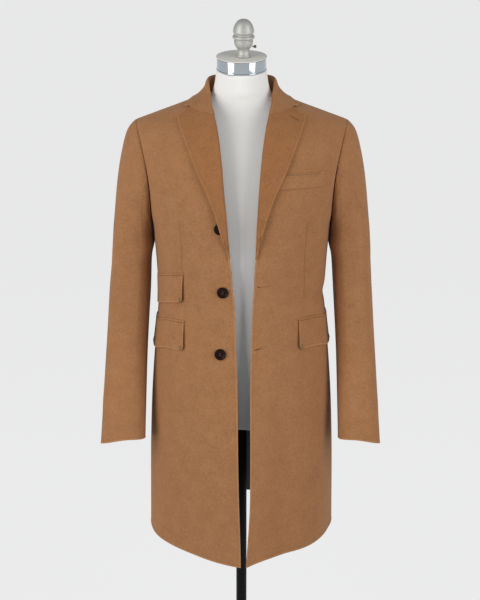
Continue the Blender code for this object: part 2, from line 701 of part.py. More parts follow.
def collar_half(side):
    """Cross-sections of the collar from the middle of the back to one front end."""
    steps = np.arange(len(COLLAR["seam_x"]))
    sections = []
    for at in np.linspace(0.0, len(steps) - 1.0, COLLAR_STATIONS + 1):
        seam, fold = (
            np.array([float(smooth_at(steps, COLLAR[f"{part}_{axis}"], at)) for axis in "xyz"])
            for part in ("seam", "fold")
        )
        leaf_x, leaf_rise, roll_x, roll_rise = (
            float(smooth_at(steps, COLLAR[name], at))
            for name in ("leaf_x", "leaf_rise", "fold_x", "fold_rise")
        )
        leaf = over_yoke(yoke_point(1, at > SHOULDER_ROW, leaf_x, leaf_rise), LEAF_OFF)
        seam = over_yoke(seam, LIE_GAP)
        away = (leaf - fold) * np.array([1.0, 1.0, 0.0])
        away /= np.linalg.norm(away)
        up = (fold - seam) / np.linalg.norm(fold - seam)
        turn = min(FOLD_RADIUS, np.linalg.norm(fold - seam) * 0.45)
        hollow = seam + away * HOLLOW_OUT + np.array([0.0, 0.0, HOLLOW_UP])
        behind = fold + away * turn * 2.0 - up * turn
        stand = seam + (fold - seam) * 0.5 - away * STAND_BOW
        line = [seam, stand, fold - up * turn, fold + away * turn, behind]
        for share in LEAF_ACROSS:
            rest = 1.0 - share
            curve = rest**2 * behind + 2 * rest * share * hollow + share**2 * leaf
            line.append(over_yoke(curve, LEAF_OFF))
        flat = smooth_step((at - FLAT_ROW) / FLAT_RUN)
        if flat > 0.0:
            low = yoke_point(1, True, roll_x, roll_rise)[2]
            high = yoke_point(1, True, leaf_x, leaf_rise)[2]
            width = leaf_x - roll_x
            lift, edge_lift = LAPEL["roll_lift"][-1], LAPEL["edge_lift"][-1]
            shares = [(inward / width, ROLL_FOOT + (lift - ROLL_FOOT) * up) for inward, up in ROLL_SECTION]
            start = shares[-1][0]
            for share in LEAF_ACROSS:
                shares.append((start + (1.0 - start) * share, lift + (edge_lift - lift) * share**1.5))
            for place, (share, off) in enumerate(shares):
                x = roll_x + width * share
                rise = min(yoke_rise(x, low + (high - low) * share), 0.996)
                out = normal_of(lambda a, b: yoke_point(1, True, a, b), x, rise)
                line[place] = line[place] + (yoke_point(1, True, x, rise) + out * off - line[place]) * flat
        sections.append(line)
    return np.array(sections) * np.array([side, 1.0, 1.0])


def section_line(side, z):
    """A dense line round one half of the coat at one height, with the way along it and its normals."""
    angles = np.linspace(0.5, 179.5, 240)
    points = np.array([skirt_point(side, angle, z) for angle in angles])
    along = np.concatenate([[0.0], np.cumsum(np.linalg.norm(np.diff(points, axis=0), axis=1))])
    tangents = np.gradient(points, axis=0)
    normals = np.stack([tangents[:, 1], -tangents[:, 0], np.zeros(len(points))], axis=1) * side
    normals /= np.linalg.norm(normals, axis=1, keepdims=True)
    return points, along, normals


def on_skirt(side, front_x, way, z, out):
    """A point lying this far outside the skirt, this far round it from a place on the front."""
    points, along, normals = section_line(side, z)
    front = points[:, 1] < 0.0
    start = np.interp(front_x, side * points[front, 0], along[front])
    at = start + way
    place = np.array([np.interp(at, along, points[:, axis]) for axis in range(3)])
    normal = np.array([np.interp(at, along, normals[:, axis]) for axis in range(3)])
    return place + normal * out


def mouth_height(row, way):
    """Height of a pocket's mouth, this far round from its front end."""
    slope = POCKETS["rise"][row] * min(max(way, 0.0) / POCKET_RUN, 1.0)
    droop = POCKETS["droop"][row] * smooth_step((way - DROOP_START) / DROOP_RUN)
    return POCKETS["top"][row] - slope - droop


def pocket(row):
    """A jetted pocket's flap and the jetting above it."""
    side = POCKETS["side"][row]
    name = POCKETS["name"][row]
    label = POCKETS["label"][row]
    front_x, length, drop = (POCKETS[key][row] for key in ("front_x", "length", "drop"))
    corner = [FLAP_CORNER * share for share in (0.0, 0.10, 0.30, 0.60, 1.0)]
    middle = [FLAP_CORNER + (length - 2 * FLAP_CORNER) * step / 8 for step in range(1, 8)]
    ways = corner + middle + [length - way for way in corner[::-1]]
    flap = []
    for down in (1.0, 0.72, 0.36, 0.0):
        line = []
        for way in ways:
            inside = max(FLAP_CORNER - min(way, length - way), 0.0)
            tall = drop - FLAP_CORNER + math.sqrt(max(FLAP_CORNER**2 - inside**2, 0.0))
            z = mouth_height(row, way) - tall * down
            front_lift = math.exp(-((way / FLAP_FRONT) ** 2))
            off = CLOTH + LIE_GAP + FLAP_LIFT * down * (0.5 + 0.7 * front_lift)
            line.append(on_skirt(side, front_x, way, z, off))
        flap.append(line)
    flap = np.array(flap)
    cloth(f"{name}_flap{label}", flap, grid_normals(flap, side < 0))
    jet = []
    for up in (JET_START, JET_HEIGHT):
        line = []
        for step in range(10):
            way = -JET_END + (length + 2 * JET_END) * step / 9
            z = mouth_height(row, way) + up
            line.append(on_skirt(side, front_x, way, z, JET_CLOTH + LIE_GAP))
        jet.append(line)
    jet = np.array(jet)
    cloth(f"{name}_jet{label}", jet, grid_normals(jet, side < 0), JET_CLOTH)


def breast_welt():
    columns = 6
    rows = []
    for up in (0.0, 0.5, 1.0):
        line = []
        for column in range(columns + 1):
            share = column / columns
            x = WELT["inner"] + (WELT["outer"] - WELT["inner"]) * share
            z = WELT["bottom"] + (WELT["top"] - WELT["bottom"]) * up + WELT["rise"] * share
            out = CLOTH + LIE_GAP + WELT["lift"] * up
            line.append(front_point(1, x, z) + front_normal(1, x, z) * out)
        rows.append(line)
    rows = np.array(rows)
    cloth("breast_welt", rows, grid_normals(rows, False))


def button(row):
    x = BUTTONS["x"][row]
    z = BUTTONS["z"][row]
    normal = Vector(front_normal(-1, x, z))
    seat = Vector(front_point(-1, x, z)) + normal * BUTTON_GAP
    turn = Vector((0.0, 0.0, 1.0)).rotation_difference(normal).to_matrix().to_4x4()
    turned(BUTTONS["name"][row], BUTTON_PROFILE, HORN, 20, Matrix.Translation(seat) @ turn)


def ellipse_ring(half_width, front, back, square, z, y=0.0, tilt=0.0):
    ring = []
    for step in range(FORM_SEGMENTS):
        turn = 2.0 * math.pi * step / FORM_SEGMENTS
        across = math.copysign(abs(math.sin(turn)) ** (2.0 / square), math.sin(turn))
        along = math.copysign(abs(math.cos(turn)) ** (2.0 / square), math.cos(turn))
        depth = front if along > 0 else back
        place_y = -depth * along
        lean = math.tan(math.radians(tilt))
        ring.append((half_width * across, y + place_y, z + place_y * lean))
    return ring


def form_rings():
    rings = []
    for row, z in enumerate(FORM["z"]):
        sizes = [FORM[name][row] for name in ("half_width", "front", "back", "squareness")]
        rings.append(ellipse_ring(*sizes, z))
    drop = CLOTH * math.hypot(1.0, SHOULDER_SLOPE) + FORM_GAP
    for row, half_width in enumerate(FORM_SHOULDER["half_width"]):
        z = float(shoulder_height(half_width)) - drop
        front = FORM_SHOULDER["front"][row] + SHOULDER_Y
        back = FORM_SHOULDER["back"][row] - SHOULDER_Y
        square = FORM_SHOULDER["squareness"][row]
        rings.append(ellipse_ring(half_width, front, back, square, z, SHOULDER_Y))
    for row, z in enumerate(NECK["z"]):
        wide, deep, square, y, tilt = (
            NECK[name][row] for name in ("half_width", "half_depth", "squareness", "y", "tilt")
        )
        rings.append(ellipse_ring(wide, deep, deep, square, z, y, tilt))
    return rings


def form_torso():
    """The torso lofted through its sections, closed under the hips and at the neck's top."""
    rings = form_rings()
    mesh = bmesh.new()
    loops = [[mesh.verts.new(place) for place in ring] for ring in rings]
    edges = []
    for loop in loops:
        edges.append([mesh.edges.new((loop[i - 1], loop[i])) for i in range(FORM_SEGMENTS)])
    for lower, upper in zip(edges, edges[1:]):
        bmesh.ops.bridge_loops(mesh, edges=lower + upper)
    bmesh.ops.contextual_create(mesh, geom=edges[0])
    bmesh.ops.contextual_create(mesh, geom=edges[-1])
    bmesh.ops.recalc_face_normals(mesh, faces=mesh.faces[:])
    data = bpy.data.meshes.new("form_torso")
    mesh.to_mesh(data)
    mesh.free()
    link(bpy.data.objects.new("form_torso", data), JERSEY)


def body_normals(points, side, flip):
    """Normals of a front or back, with those along the side and shoulder seams made common to both."""
    normals = grid_normals(points, flip)
    normals[: SKIRT_ROWS + 1, -1, 1] = 0.0
    on_seam = abs(points[-1, :, 0]) >= NECK_POINT_X - 0.001
    normals[-1, on_seam] = np.array([side * SHOULDER_SLOPE, 0.0, 1.0])
    return normals / np.linalg.norm(normals, axis=2, keepdims=True)


for wearer_side, label in ((-1, "right"), (1, "left")):
    mirrored = wearer_side < 0
    front = front_grid(wearer_side)
    back = back_grid(wearer_side)
    front_way = body_normals(front, wearer_side, mirrored)
    back_way = body_normals(back, wearer_side, not mirrored)

    rings = sleeve_grid(wearer_side, front, back)
    ring_way = sleeve_normals(rings, armhole(front_way, back_way), mirrored)
    turns = rings.shape[1]
    sleeve_piece(f"sleeve_under_{label}", rings, ring_way, FRONT_SLEEVE_SEAM, BACK_SLEEVE_SEAM)
    sleeve_piece(f"sleeve_top_{label}", rings, ring_way, BACK_SLEEVE_SEAM, turns + FRONT_SLEEVE_SEAM)

    for name, points, way in (("front", front, front_way), ("back", back, back_way)):
        pull_in(points, row=-1)
        pull_in(points[: SKIRT_ROWS + 1], column=-1)
        cloth(f"{name}_{label}", points, way)

    lapel = lapel_grid(wearer_side)
    cloth(f"lapel_{label}", lapel, grid_normals(lapel, mirrored), COLLAR_CLOTH)

collar = np.concatenate([collar_half(-1)[::-1], collar_half(1)[1:]])
cloth("collar", collar, grid_normals(collar, True), COLLAR_CLOTH)

breast_welt()
for pocket_row in range(len(POCKETS["name"])):
    pocket(pocket_row)
for button_row in range(len(BUTTONS["name"])):
    button(button_row)

form_torso()
neck_top = Vector((0.0, NECK["y"][-1], NECK["z"][-1]))
neck_place = Matrix.Translation(neck_top) @ Matrix.Rotation(math.radians(NECK_TILT), 4, "X")
turned("neck_band", BAND_PROFILE, CHROME, 32, neck_place)
turned("neck_cap", CAP_PROFILE, CREAM_LACQUER, 32, neck_place)
finial_place = neck_place @ Matrix.Translation((FINIAL_X, FINIAL_Y, 0.0))
turned("finial", FINIAL_PROFILE, PEWTER, 20, finial_place)
screw_seat = Matrix.Translation((SCREW_REACH, 0.0, SCREW_HEIGHT))
screw_place = finial_place @ screw_seat @ Matrix.Rotation(math.radians(90.0), 4, "Y")
screw_profile = ((0.0, 0.0), (SCREW_RADIUS, 0.0), (SCREW_RADIUS, SCREW_LENGTH), (0.0, SCREW_LENGTH))
turned("finial_screw", screw_profile, BRASS, 12, screw_place)

turned("base", BASE_PROFILE, BLACK, 48, Matrix.Identity(4))
turned("pole", POLE_PROFILE, BLACK, 20, Matrix.Identity(4))
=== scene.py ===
"""Looks of a single-breasted camel topcoat worn by a dress form on a stand."""

import math

import bmesh
import bpy
import numpy as np
from mathutils import Matrix, Vector


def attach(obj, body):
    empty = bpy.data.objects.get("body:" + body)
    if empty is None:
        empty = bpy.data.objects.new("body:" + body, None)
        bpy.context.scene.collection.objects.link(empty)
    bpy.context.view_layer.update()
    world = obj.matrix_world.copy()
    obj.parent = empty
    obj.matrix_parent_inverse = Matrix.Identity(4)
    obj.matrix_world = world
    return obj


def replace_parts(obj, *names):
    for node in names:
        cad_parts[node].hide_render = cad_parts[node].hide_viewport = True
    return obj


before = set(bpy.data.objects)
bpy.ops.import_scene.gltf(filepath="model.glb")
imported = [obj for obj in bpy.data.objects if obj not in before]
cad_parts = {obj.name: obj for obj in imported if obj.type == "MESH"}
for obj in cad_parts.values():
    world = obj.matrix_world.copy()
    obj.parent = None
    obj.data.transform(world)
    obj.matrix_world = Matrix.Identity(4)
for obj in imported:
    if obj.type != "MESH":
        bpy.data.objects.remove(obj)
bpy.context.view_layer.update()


# Studio: a pale matte floor that runs out of the picture and two tall soft boxes beside the coat, the
# left one stronger. The camera stands at head height and looks down on the coat.
CAMERA_PLACE = (-0.0033, -3.07, 1.80)
CAMERA_TILT = 76.0
CAMERA_LENS = 84.9
CAMERA_SENSOR = 36.0
FLOOR_SIZE = 80.0
FLOOR_SURFACE = {
    "Base Color": (0.12, 0.12, 0.12, 1.0), "Roughness": 1.0, "Specular IOR Level": 0.0,
    "Emission Color": (1.0, 1.0, 1.0, 1.0), "Emission Strength": 0.765,
}
SURROUND = (0.318, 0.329, 0.345, 1.0)
LIGHTS = {
    "name": ("soft_left", "soft_right"),
    "place": ((-2.28, -1.88, 1.80), (2.30, -1.80, 1.90)),
    "wide": (1.6, 1.55),
    "tall": (3.0, 3.0),
    "power": (65.5, 51.0),
}
LIGHT_AIM = (0.0, 0.0, 1.15)


def placed(name, mesh):
    """An object of a complete mesh, put into the scene."""
    data = bpy.data.meshes.new(name)
    mesh.to_mesh(data)
    mesh.free()
    made = bpy.data.objects.new(name, data)
    bpy.context.scene.collection.objects.link(made)
    return made


def studio():
    scene = bpy.context.scene
    scene.view_settings.view_transform = "Standard"
    data = bpy.data.cameras.new("camera")
    data.lens = CAMERA_LENS
    data.sensor_width = CAMERA_SENSOR
    camera = bpy.data.objects.new("camera", data)
    camera.location = CAMERA_PLACE
    camera.rotation_euler = (math.radians(CAMERA_TILT), 0.0, 0.0)
    scene.collection.objects.link(camera)
    scene.camera = camera
    for name, place, wide, tall, power in zip(*LIGHTS.values()):
        light = bpy.data.lights.new(name, "AREA")
        light.shape = "RECTANGLE"
        light.size = wide
        light.size_y = tall
        light.energy = power
        lamp = bpy.data.objects.new(name, light)
        lamp.location = place
        lamp.rotation_euler = (Vector(LIGHT_AIM) - Vector(place)).to_track_quat("-Z", "Y").to_euler()
        scene.collection.objects.link(lamp)
    world = bpy.data.worlds.new("surround")
    world.use_nodes = True
    world.node_tree.nodes["Background"].inputs["Color"].default_value = SURROUND
    scene.world = world
    mesh = bmesh.new()
    bmesh.ops.create_grid(mesh, x_segments=1, y_segments=1, size=FLOOR_SIZE)
    floor = placed("floor", mesh)
    floor.visible_diffuse = False
    paint = bpy.data.materials.new("pale_floor")
    paint.use_nodes = True
    for socket, value in FLOOR_SURFACE.items():
        paint.node_tree.nodes["Principled BSDF"].inputs[socket].default_value = value
    floor.data.materials.append(paint)


studio()


# Fronts: each is one piece of felted camel wool from the side seam to the open front edge, shaped
# by a dart under the chest. The edge is turned over a facing, pressed and pick stitched by hand,
# which leaves a soft raised roll; the hem is folded up and felled inside over a lining, coloured near
# black as painted shade for the inside of the coat.
WOOL_WALL = 0.0020
MERGE = 0.00002
RIM_TOLERANCE = 0.000002
EDGE_LINES = (0.0, 0.0010, 0.0022, 0.0034, 0.0046, 0.0060, 0.0090)
CLOTH_SPACING = 0.0055
EDGE_ROLL = 0.0005
EDGE_ROLL_AT = 0.0022
EDGE_ROLL_WIDTH = 0.0018
STITCH_LINE = 0.0048
STITCH_STEP = 0.0052
SEAM_SINK = 0.0006
SEAM_WIDTH = 0.0024
SEAM_HOLD = 0.020
SUNK_WIDTH = 0.0022
SEAM_REACH = {"seam": 0.00013, "join": 0.00013, "set": 0.0006}
RIM_ROUND = 0.0003
RIM_ANGLE = 50.0
FRONT_START = {"front_right": (-0.02, -0.3, 0.40), "front_left": (0.02, -0.3, 0.40)}
FRONT_GRID = (28, 12)
DART = {
    "front_right": ((1.060, -0.1255), (1.176, -0.1270), (1.245, -0.1310)),
    "front_left": ((1.064, 0.1340), (1.176, 0.1350), (1.242, 0.1400)),
}
NIP_X = 0.130
NIP_Z = 1.0615
NIP_RUN = 0.017
NIP_DEPTH = 0.0036
NIP_FADE = 0.035
CREASE_BEYOND = 0.12
CREASE_RISE = 0.40
CREASE_FALL = 0.50
FRONT_CREASES = {
    "front_right": (
        ((-0.070, 0.930), (-0.060, 0.560), 0.022, -0.0014),
        ((-0.128, 0.905), (-0.140, 0.500), 0.026, 0.0018),
        ((-0.172, 0.930), (-0.186, 0.600), 0.018, -0.0016),
        ((-0.150, 1.375), (-0.158, 1.270), 0.014, -0.0016),
        ((-0.062, 1.112), (-0.128, 1.150), 0.014, 0.0008),
        ((-0.150, 1.098), (-0.185, 1.080), 0.010, -0.0010),
        ((-0.100, 1.300), (-0.085, 1.200), 0.022, 0.0009),
    ),
    "front_left": (
        ((0.086, 0.930), (0.092, 0.500), 0.024, -0.0018),
        ((0.050, 0.880), (0.056, 0.520), 0.018, 0.0010),
        ((0.150, 0.900), (0.166, 0.540), 0.026, 0.0016),
        ((0.186, 0.930), (0.204, 0.640), 0.016, -0.0014),
        ((0.160, 1.290), (0.166, 1.240), 0.012, -0.0012),
        ((0.150, 1.118), (0.176, 1.092), 0.010, -0.0012),
        ((0.080, 1.120), (0.100, 1.190), 0.016, 0.0009),
    ),
}


class Value:
    """One socket of a material; arithmetic on it adds Math nodes to the same material."""

    def __init__(self, tree, socket=None):
        self.tree = tree
        self.socket = socket

    def node(self, kind, settings=(), inputs=(), output=0):
        made = self.tree.nodes.new(kind)
        for name, value in dict(settings).items():
            setattr(made, name, value)
        for name, value in dict(inputs).items():
            if isinstance(value, Value):
                self.tree.links.new(value.socket, made.inputs[name])
            else:
                made.inputs[name].default_value = value
        return Value(self.tree, made.outputs[output])

    def maths(self, operation, first, second=0.0):
        return self.node("ShaderNodeMath", {"operation": operation}, {0: first, 1: second})

    def __add__(self, other):
        return self.maths("ADD", self, other)

    __radd__ = __add__

    def __sub__(self, other):
        return self.maths("SUBTRACT", self, other)

    def __rsub__(self, other):
        return self.maths("SUBTRACT", other, self)

    def __mul__(self, other):
        return self.maths("MULTIPLY", self, other)

    __rmul__ = __mul__

    def __abs__(self):
        return self.maths("ABSOLUTE", self)

    def below(self, low, high):
        """One under the low value, nothing over the high one, with a smooth passage between."""
        return self.node(
            "ShaderNodeMapRange",
            {"interpolation_type": "SMOOTHSTEP"},
            {"Value": self, "From Min": low, "From Max": high, "To Min": 1.0, "To Max": 0.0},
        )

    def place(self, stretch=(1.0, 1.0, 1.0)):
        own = self.node("ShaderNodeTexCoord", output="Object")
        return self.node("ShaderNodeVectorMath", {"operation": "MULTIPLY"}, {0: own, 1: stretch})

    def noise(self, scale, detail=2.0, roughness=0.5, stretch=(1.0, 1.0, 1.0)):
        sizes = {"Vector": self.place(stretch), "Scale": scale, "Detail": detail, "Roughness": roughness}
        return self.node("ShaderNodeTexNoise", {}, sizes)

    def attribute(self, name):
        return self.node("ShaderNodeAttribute", {"attribute_name": name}, output="Fac")

    def blend(self, share, first, second):
        """A colour between two others."""
        inputs = {"Factor": share, 6: first, 7: second}
        return self.node("ShaderNodeMix", {"data_type": "RGBA"}, inputs, output=2)

    def bump(self, height, distance, strength=1.0):
        inputs = {"Height": height, "Distance": distance, "Strength": strength}
        return self.node("ShaderNodeBump", {}, inputs)


def finish(name, constants, varying):
    """A material: constant values on its sockets and, from a function, the links that vary."""
    made = bpy.data.materials.new(name)
    made.use_nodes = True
    shader = made.node_tree.nodes["Principled BSDF"]
    for socket, value in constants.items():
        shader.inputs[socket].default_value = value
    for socket, value in varying(Value(made.node_tree)).items():
        made.node_tree.links.new(value.socket, shader.inputs[socket])
    return made


WOOL_DEEP = (0.265, 0.118, 0.045, 1.0)
WOOL_PALE = (0.445, 0.208, 0.088, 1.0)
WOOL_SURFACE = {
    "Roughness": 0.93, "Specular IOR Level": 0.18, "Sheen Weight": 0.16, "Sheen Roughness": 0.45,
    "Sheen Tint": (1.0, 0.80, 0.62, 1.0),
}
STITCH_FADE = (0.0002, 0.0008)
STITCH_GAP = (-0.2, 0.3)
SEAM_FADE = (0.0004, 0.0022)
DART_FADE = (0.0002, 0.0013)
EDGE_HIGHLIGHT_FADE = (0.0022, 0.0054)


def wool_links(start, deep=WOOL_DEEP, pale=WOOL_PALE):
    nap = start.noise(300.0, detail=6.0, roughness=0.75)
    weft = start.noise(1.0, detail=4.0, roughness=0.65, stretch=(150.0, 150.0, 560.0))
    warp = start.noise(1.0, detail=4.0, roughness=0.65, stretch=(480.0, 480.0, 110.0))
    mottle = start.noise(34.0, detail=5.0, roughness=0.65)
    edge = start.attribute("edge")
    along = start.attribute("along")
    seam = start.attribute("seam")
    dart = start.attribute("dart")
    wave = start.node("ShaderNodeMath", {"operation": "SINE"}, {0: along * (2.0 * math.pi / STITCH_STEP)})
    stitch = abs(edge - STITCH_LINE).below(*STITCH_FADE) * (wave * -1.0).below(*STITCH_GAP)
    line = seam.below(*SEAM_FADE)
    dart_line = abs(dart).below(*DART_FADE)
    # painted highlight: the wool is paler along its free edges, standing for light caught by the rolled edge
    painted_edge_highlight = edge.below(*EDGE_HIGHLIGHT_FADE)
    shade = 0.5 + (nap - 0.5) * 1.7 + (weft - 0.5) * 0.7 + (warp - 0.5) * 0.4 + (mottle - 0.5) * 0.7
    # painted shade: the colour is darkened in the pick-stitch dimples, along the seams and along the dart,
    # where shade falls in the cloth's dips
    shade = shade + painted_edge_highlight * 0.36 - stitch * 0.22 - line * 0.25 - dart_line * 0.45
    colour = start.blend(shade, deep, pale)
    height = nap * 0.55 + weft * 0.45 - stitch * 1.4 - dart_line * 1.2 - line * 0.6
    return {"Base Color": colour, "Normal": start.bump(height, distance=0.0009, strength=0.55)}


# painted shade: the lining is coloured near black, which stands for the shade inside the coat
def lining_links(start):
    rib = start.noise(1.0, detail=2.0, roughness=0.5, stretch=(900.0, 900.0, 220.0))
    colour = start.blend(rib, (0.004, 0.004, 0.004, 1.0), (0.011, 0.010, 0.010, 1.0))
    return {"Base Color": colour, "Normal": start.bump(rib, distance=0.0004, strength=0.4)}


wool = finish("camel_wool", WOOL_SURFACE, wool_links)
lining = finish("lining", {"Roughness": 0.55}, lining_links)


def smooth_step(share):
    share = np.clip(share, 0.0, 1.0)
    return share * share * (3.0 - 2.0 * share)


def solid_mesh(node):
    """A mesh of one of the solids, with its loose triangles joined."""
    mesh = bmesh.new()
    mesh.from_mesh(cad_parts[node].data)
    bmesh.ops.remove_doubles(mesh, verts=mesh.verts[:], dist=MERGE)
    return mesh


def sheet_side(node, wall):
    """A mesh of the right side of a cloth solid, which is the wider of its two sides."""
    mesh = solid_mesh(node)
    rim = [
        face for face in mesh.faces
        if any(abs(edge.calc_length() - wall) < RIM_TOLERANCE for edge in face.edges)
    ]
    bmesh.ops.delete(mesh, geom=rim, context="FACES")
    first = [mesh.faces[:][0]]
    side = set(first)
    while first:
        near = {other for face in first for edge in face.edges for other in edge.link_faces}
        first = list(near - side)
        side |= near
    other = [face for face in mesh.faces if face not in side]
    narrow = min(list(side), other, key=lambda faces: sum(face.calc_area() for face in faces))
    bmesh.ops.delete(mesh, geom=narrow, context="FACES")
    return mesh


def peel_rows(mesh, row, count):
    """Rows of vertices, taken off a sheet one strip of faces after another from its first row."""
    left = set(mesh.faces)
    rows = [row]
    while len(rows) < count:
        last = set(rows[-1])
        strip = [face for face in mesh.faces if face in left and last & set(face.verts)]
        left -= set(strip)
        after = {vert for face in strip for vert in face.verts} - last
        if len(after) != len(row):
            return None
        pairs = [[vert for vert in face.verts if vert in after] for face in strip]
        links = {vert: [] for vert in after}
        for one, other in (pair for pair in pairs if len(pair) == 2):
            links[one].append(other)
            links[other].append(one)
        near = {vert for edge in rows[-1][0].link_edges for vert in edge.verts}
        ends = [vert for vert in near & after if len(links[vert]) == 1]
        if len(ends) != 1:
            return None
        line = ends
        while len(line) < len(row):
            ahead = [vert for vert in links[line[-1]] if vert not in line]
            if len(ahead) != 1:
                return None
            line.append(ahead[0])
        rows.append(line)
    return rows


def sheet_rows(mesh, rows, columns):
    """Vertices of a sheet in rows and columns, from the first corner where that works out."""
    rim = [edge for edge in mesh.edges if edge.is_boundary]
    beside = {vert: [] for edge in rim for vert in edge.verts}
    for one, other in (edge.verts for edge in rim):
        beside[one].append(other)
        beside[other].append(one)
    for corner in (vert for vert in mesh.verts if len(vert.link_faces) == 1):
        for ahead in beside[corner]:
            line = [corner, ahead]
            while len(line) < columns:
                line.append(next(vert for vert in beside[line[-1]] if vert != line[-2]))
            grid = peel_rows(mesh, line, rows) if len(line[-1].link_faces) < 3 else None
            if grid:
                return grid
    raise ValueError("no rows found")


def sheet_grid(node, wall, size, start):
    """A cloth solid's right side as rows and columns of points from the corner nearest to a place,
    and whether columns crossed with rows point out of the cloth."""
    rows, columns = size
    mesh = sheet_side(node, wall)
    grid = sheet_rows(mesh, rows, columns)
    points = np.array([[vert.co for vert in line] for line in grid])
    number = {vert: (row, column) for row, line in enumerate(grid) for column, vert in enumerate(line)}
    (row_a, column_a), (row_b, column_b), (row_c, column_c) = [
        number[vert] for vert in mesh.faces[:][0].verts
    ]
    mesh.free()
    turn = (column_b - column_a) * (row_c - row_a) - (column_c - column_a) * (row_b - row_a)
    outward = 1 if turn > 0 else -1
    if rows == columns and np.ptp(points[0, :, 2]) > np.ptp(points[:, 0, 2]):
        points = points.transpose(1, 0, 2)
        outward = -outward
    reach = np.linalg.norm(points[[0, 0, -1, -1], [0, -1, 0, -1]] - np.array(start), axis=1)
    nearest_corner = int(np.argmin(reach))
    if nearest_corner >= 2:
        points = points[::-1]
        outward = -outward
    if nearest_corner % 2:
        points = points[:, ::-1]
        outward = -outward
    return points, outward


def spline_weights(knots, at):
    """Weights that carry values at the knots to a natural cubic spline through them."""
    count = len(knots)
    step = np.diff(knots)
    system = np.eye(count)
    pull = np.zeros((count, count))
    for row in range(1, count - 1):
        before, after = step[row - 1], step[row]
        system[row, row - 1:row + 2] = before, 2.0 * (before + after), after
        pull[row, row - 1:row + 2] = 6.0 / before, -6.0 / before - 6.0 / after, 6.0 / after
    bend = np.linalg.solve(system, pull)
    cell = np.clip(np.searchsorted(knots, at) - 1, 0, count - 2)
    right = (at - knots[cell]) / step[cell]
    left = 1.0 - right
    weights = np.zeros((len(at), count))
    weights[np.arange(len(at)), cell] = left
    weights[np.arange(len(at)), cell + 1] = right
    square = step[cell] ** 2 / 6.0
    weights += ((left**3 - left) * square)[:, None] * bend[cell]
    weights += ((right**3 - right) * square)[:, None] * bend[cell + 1]
    return weights


def ways(points, axis):
    """Distance along the cloth from its first row or column."""
    steps = np.linalg.norm(np.diff(points, axis=axis), axis=2)
    start = np.zeros_like(np.take(steps, [0], axis=axis))
    return np.cumsum(np.concatenate([start, steps], axis=axis), axis=axis)


def fine_grid(points, spacing, weights_of=spline_weights):
    """The same sheet with smooth lines at an even spacing and close ones beside its edges."""
    for axis in (0, 1):
        way = ways(points, axis).mean(axis=1 - axis)
        length = way[-1]
        close = np.array([line for line in EDGE_LINES if line < length / 3])
        even = np.linspace(close[-1], length - close[-1], max(int(length / spacing), 3))
        at = np.concatenate([close[:-1], even, length - close[-2::-1]])
        points = np.moveaxis(np.tensordot(weights_of(way, at), points, axes=(1, axis)), 0, axis)
    return points


def grid_normals(points, outward):
    normals = outward * np.cross(np.gradient(points, axis=1), np.gradient(points, axis=0))
    return normals / np.linalg.norm(normals, axis=2, keepdims=True)


def side_distances(points):
    """Distance of each point from the first row, the last row, the first and the last column."""
    up = ways(points, 0)
    across = ways(points, 1)
    return [up, up[-1:] - up, across, across[:, -1:] - across]


def nearest(distances, kinds, kind):
    chosen = [distance for distance, side in zip(distances, kinds) if side == kind]
    return np.min(chosen, axis=0) if chosen else np.ones_like(distances[0])


def crease_depth(points, axes, creases):
    """How far soft creases move the cloth: each a trough or a ridge that fades at both ends."""
    flat = points[..., list(axes)]
    moved = np.zeros(flat.shape[:2])
    for start, end, width, depth in creases:
        run = np.array(end) - np.array(start)
        length = np.linalg.norm(run)
        share = (flat - np.array(start)) @ run / length**2
        off = np.cross(flat - np.array(start), run) / length
        fade = smooth_step((share + CREASE_BEYOND) / CREASE_RISE)
        fade *= smooth_step((1.0 + CREASE_BEYOND - share) / CREASE_FALL)
        moved += depth * fade * np.exp(-((off / width) ** 2))
    return moved


SURFACES = {}


def closed_seams(points, kinds):
    """The sheet with its sewn sides drawn a little further, up to the piece beside them."""
    points = points.copy()
    for axis, last, kind in ((0, 0, kinds[0]), (0, -1, kinds[1]), (1, 0, kinds[2]), (1, -1, kinds[3])):
        if kind in SEAM_REACH:
            lines = np.moveaxis(points, axis, 0)
            run = lines[last] - lines[1 if last == 0 else -2]
            lines[last] += run / np.linalg.norm(run, axis=1, keepdims=True) * SEAM_REACH[kind]
    return points


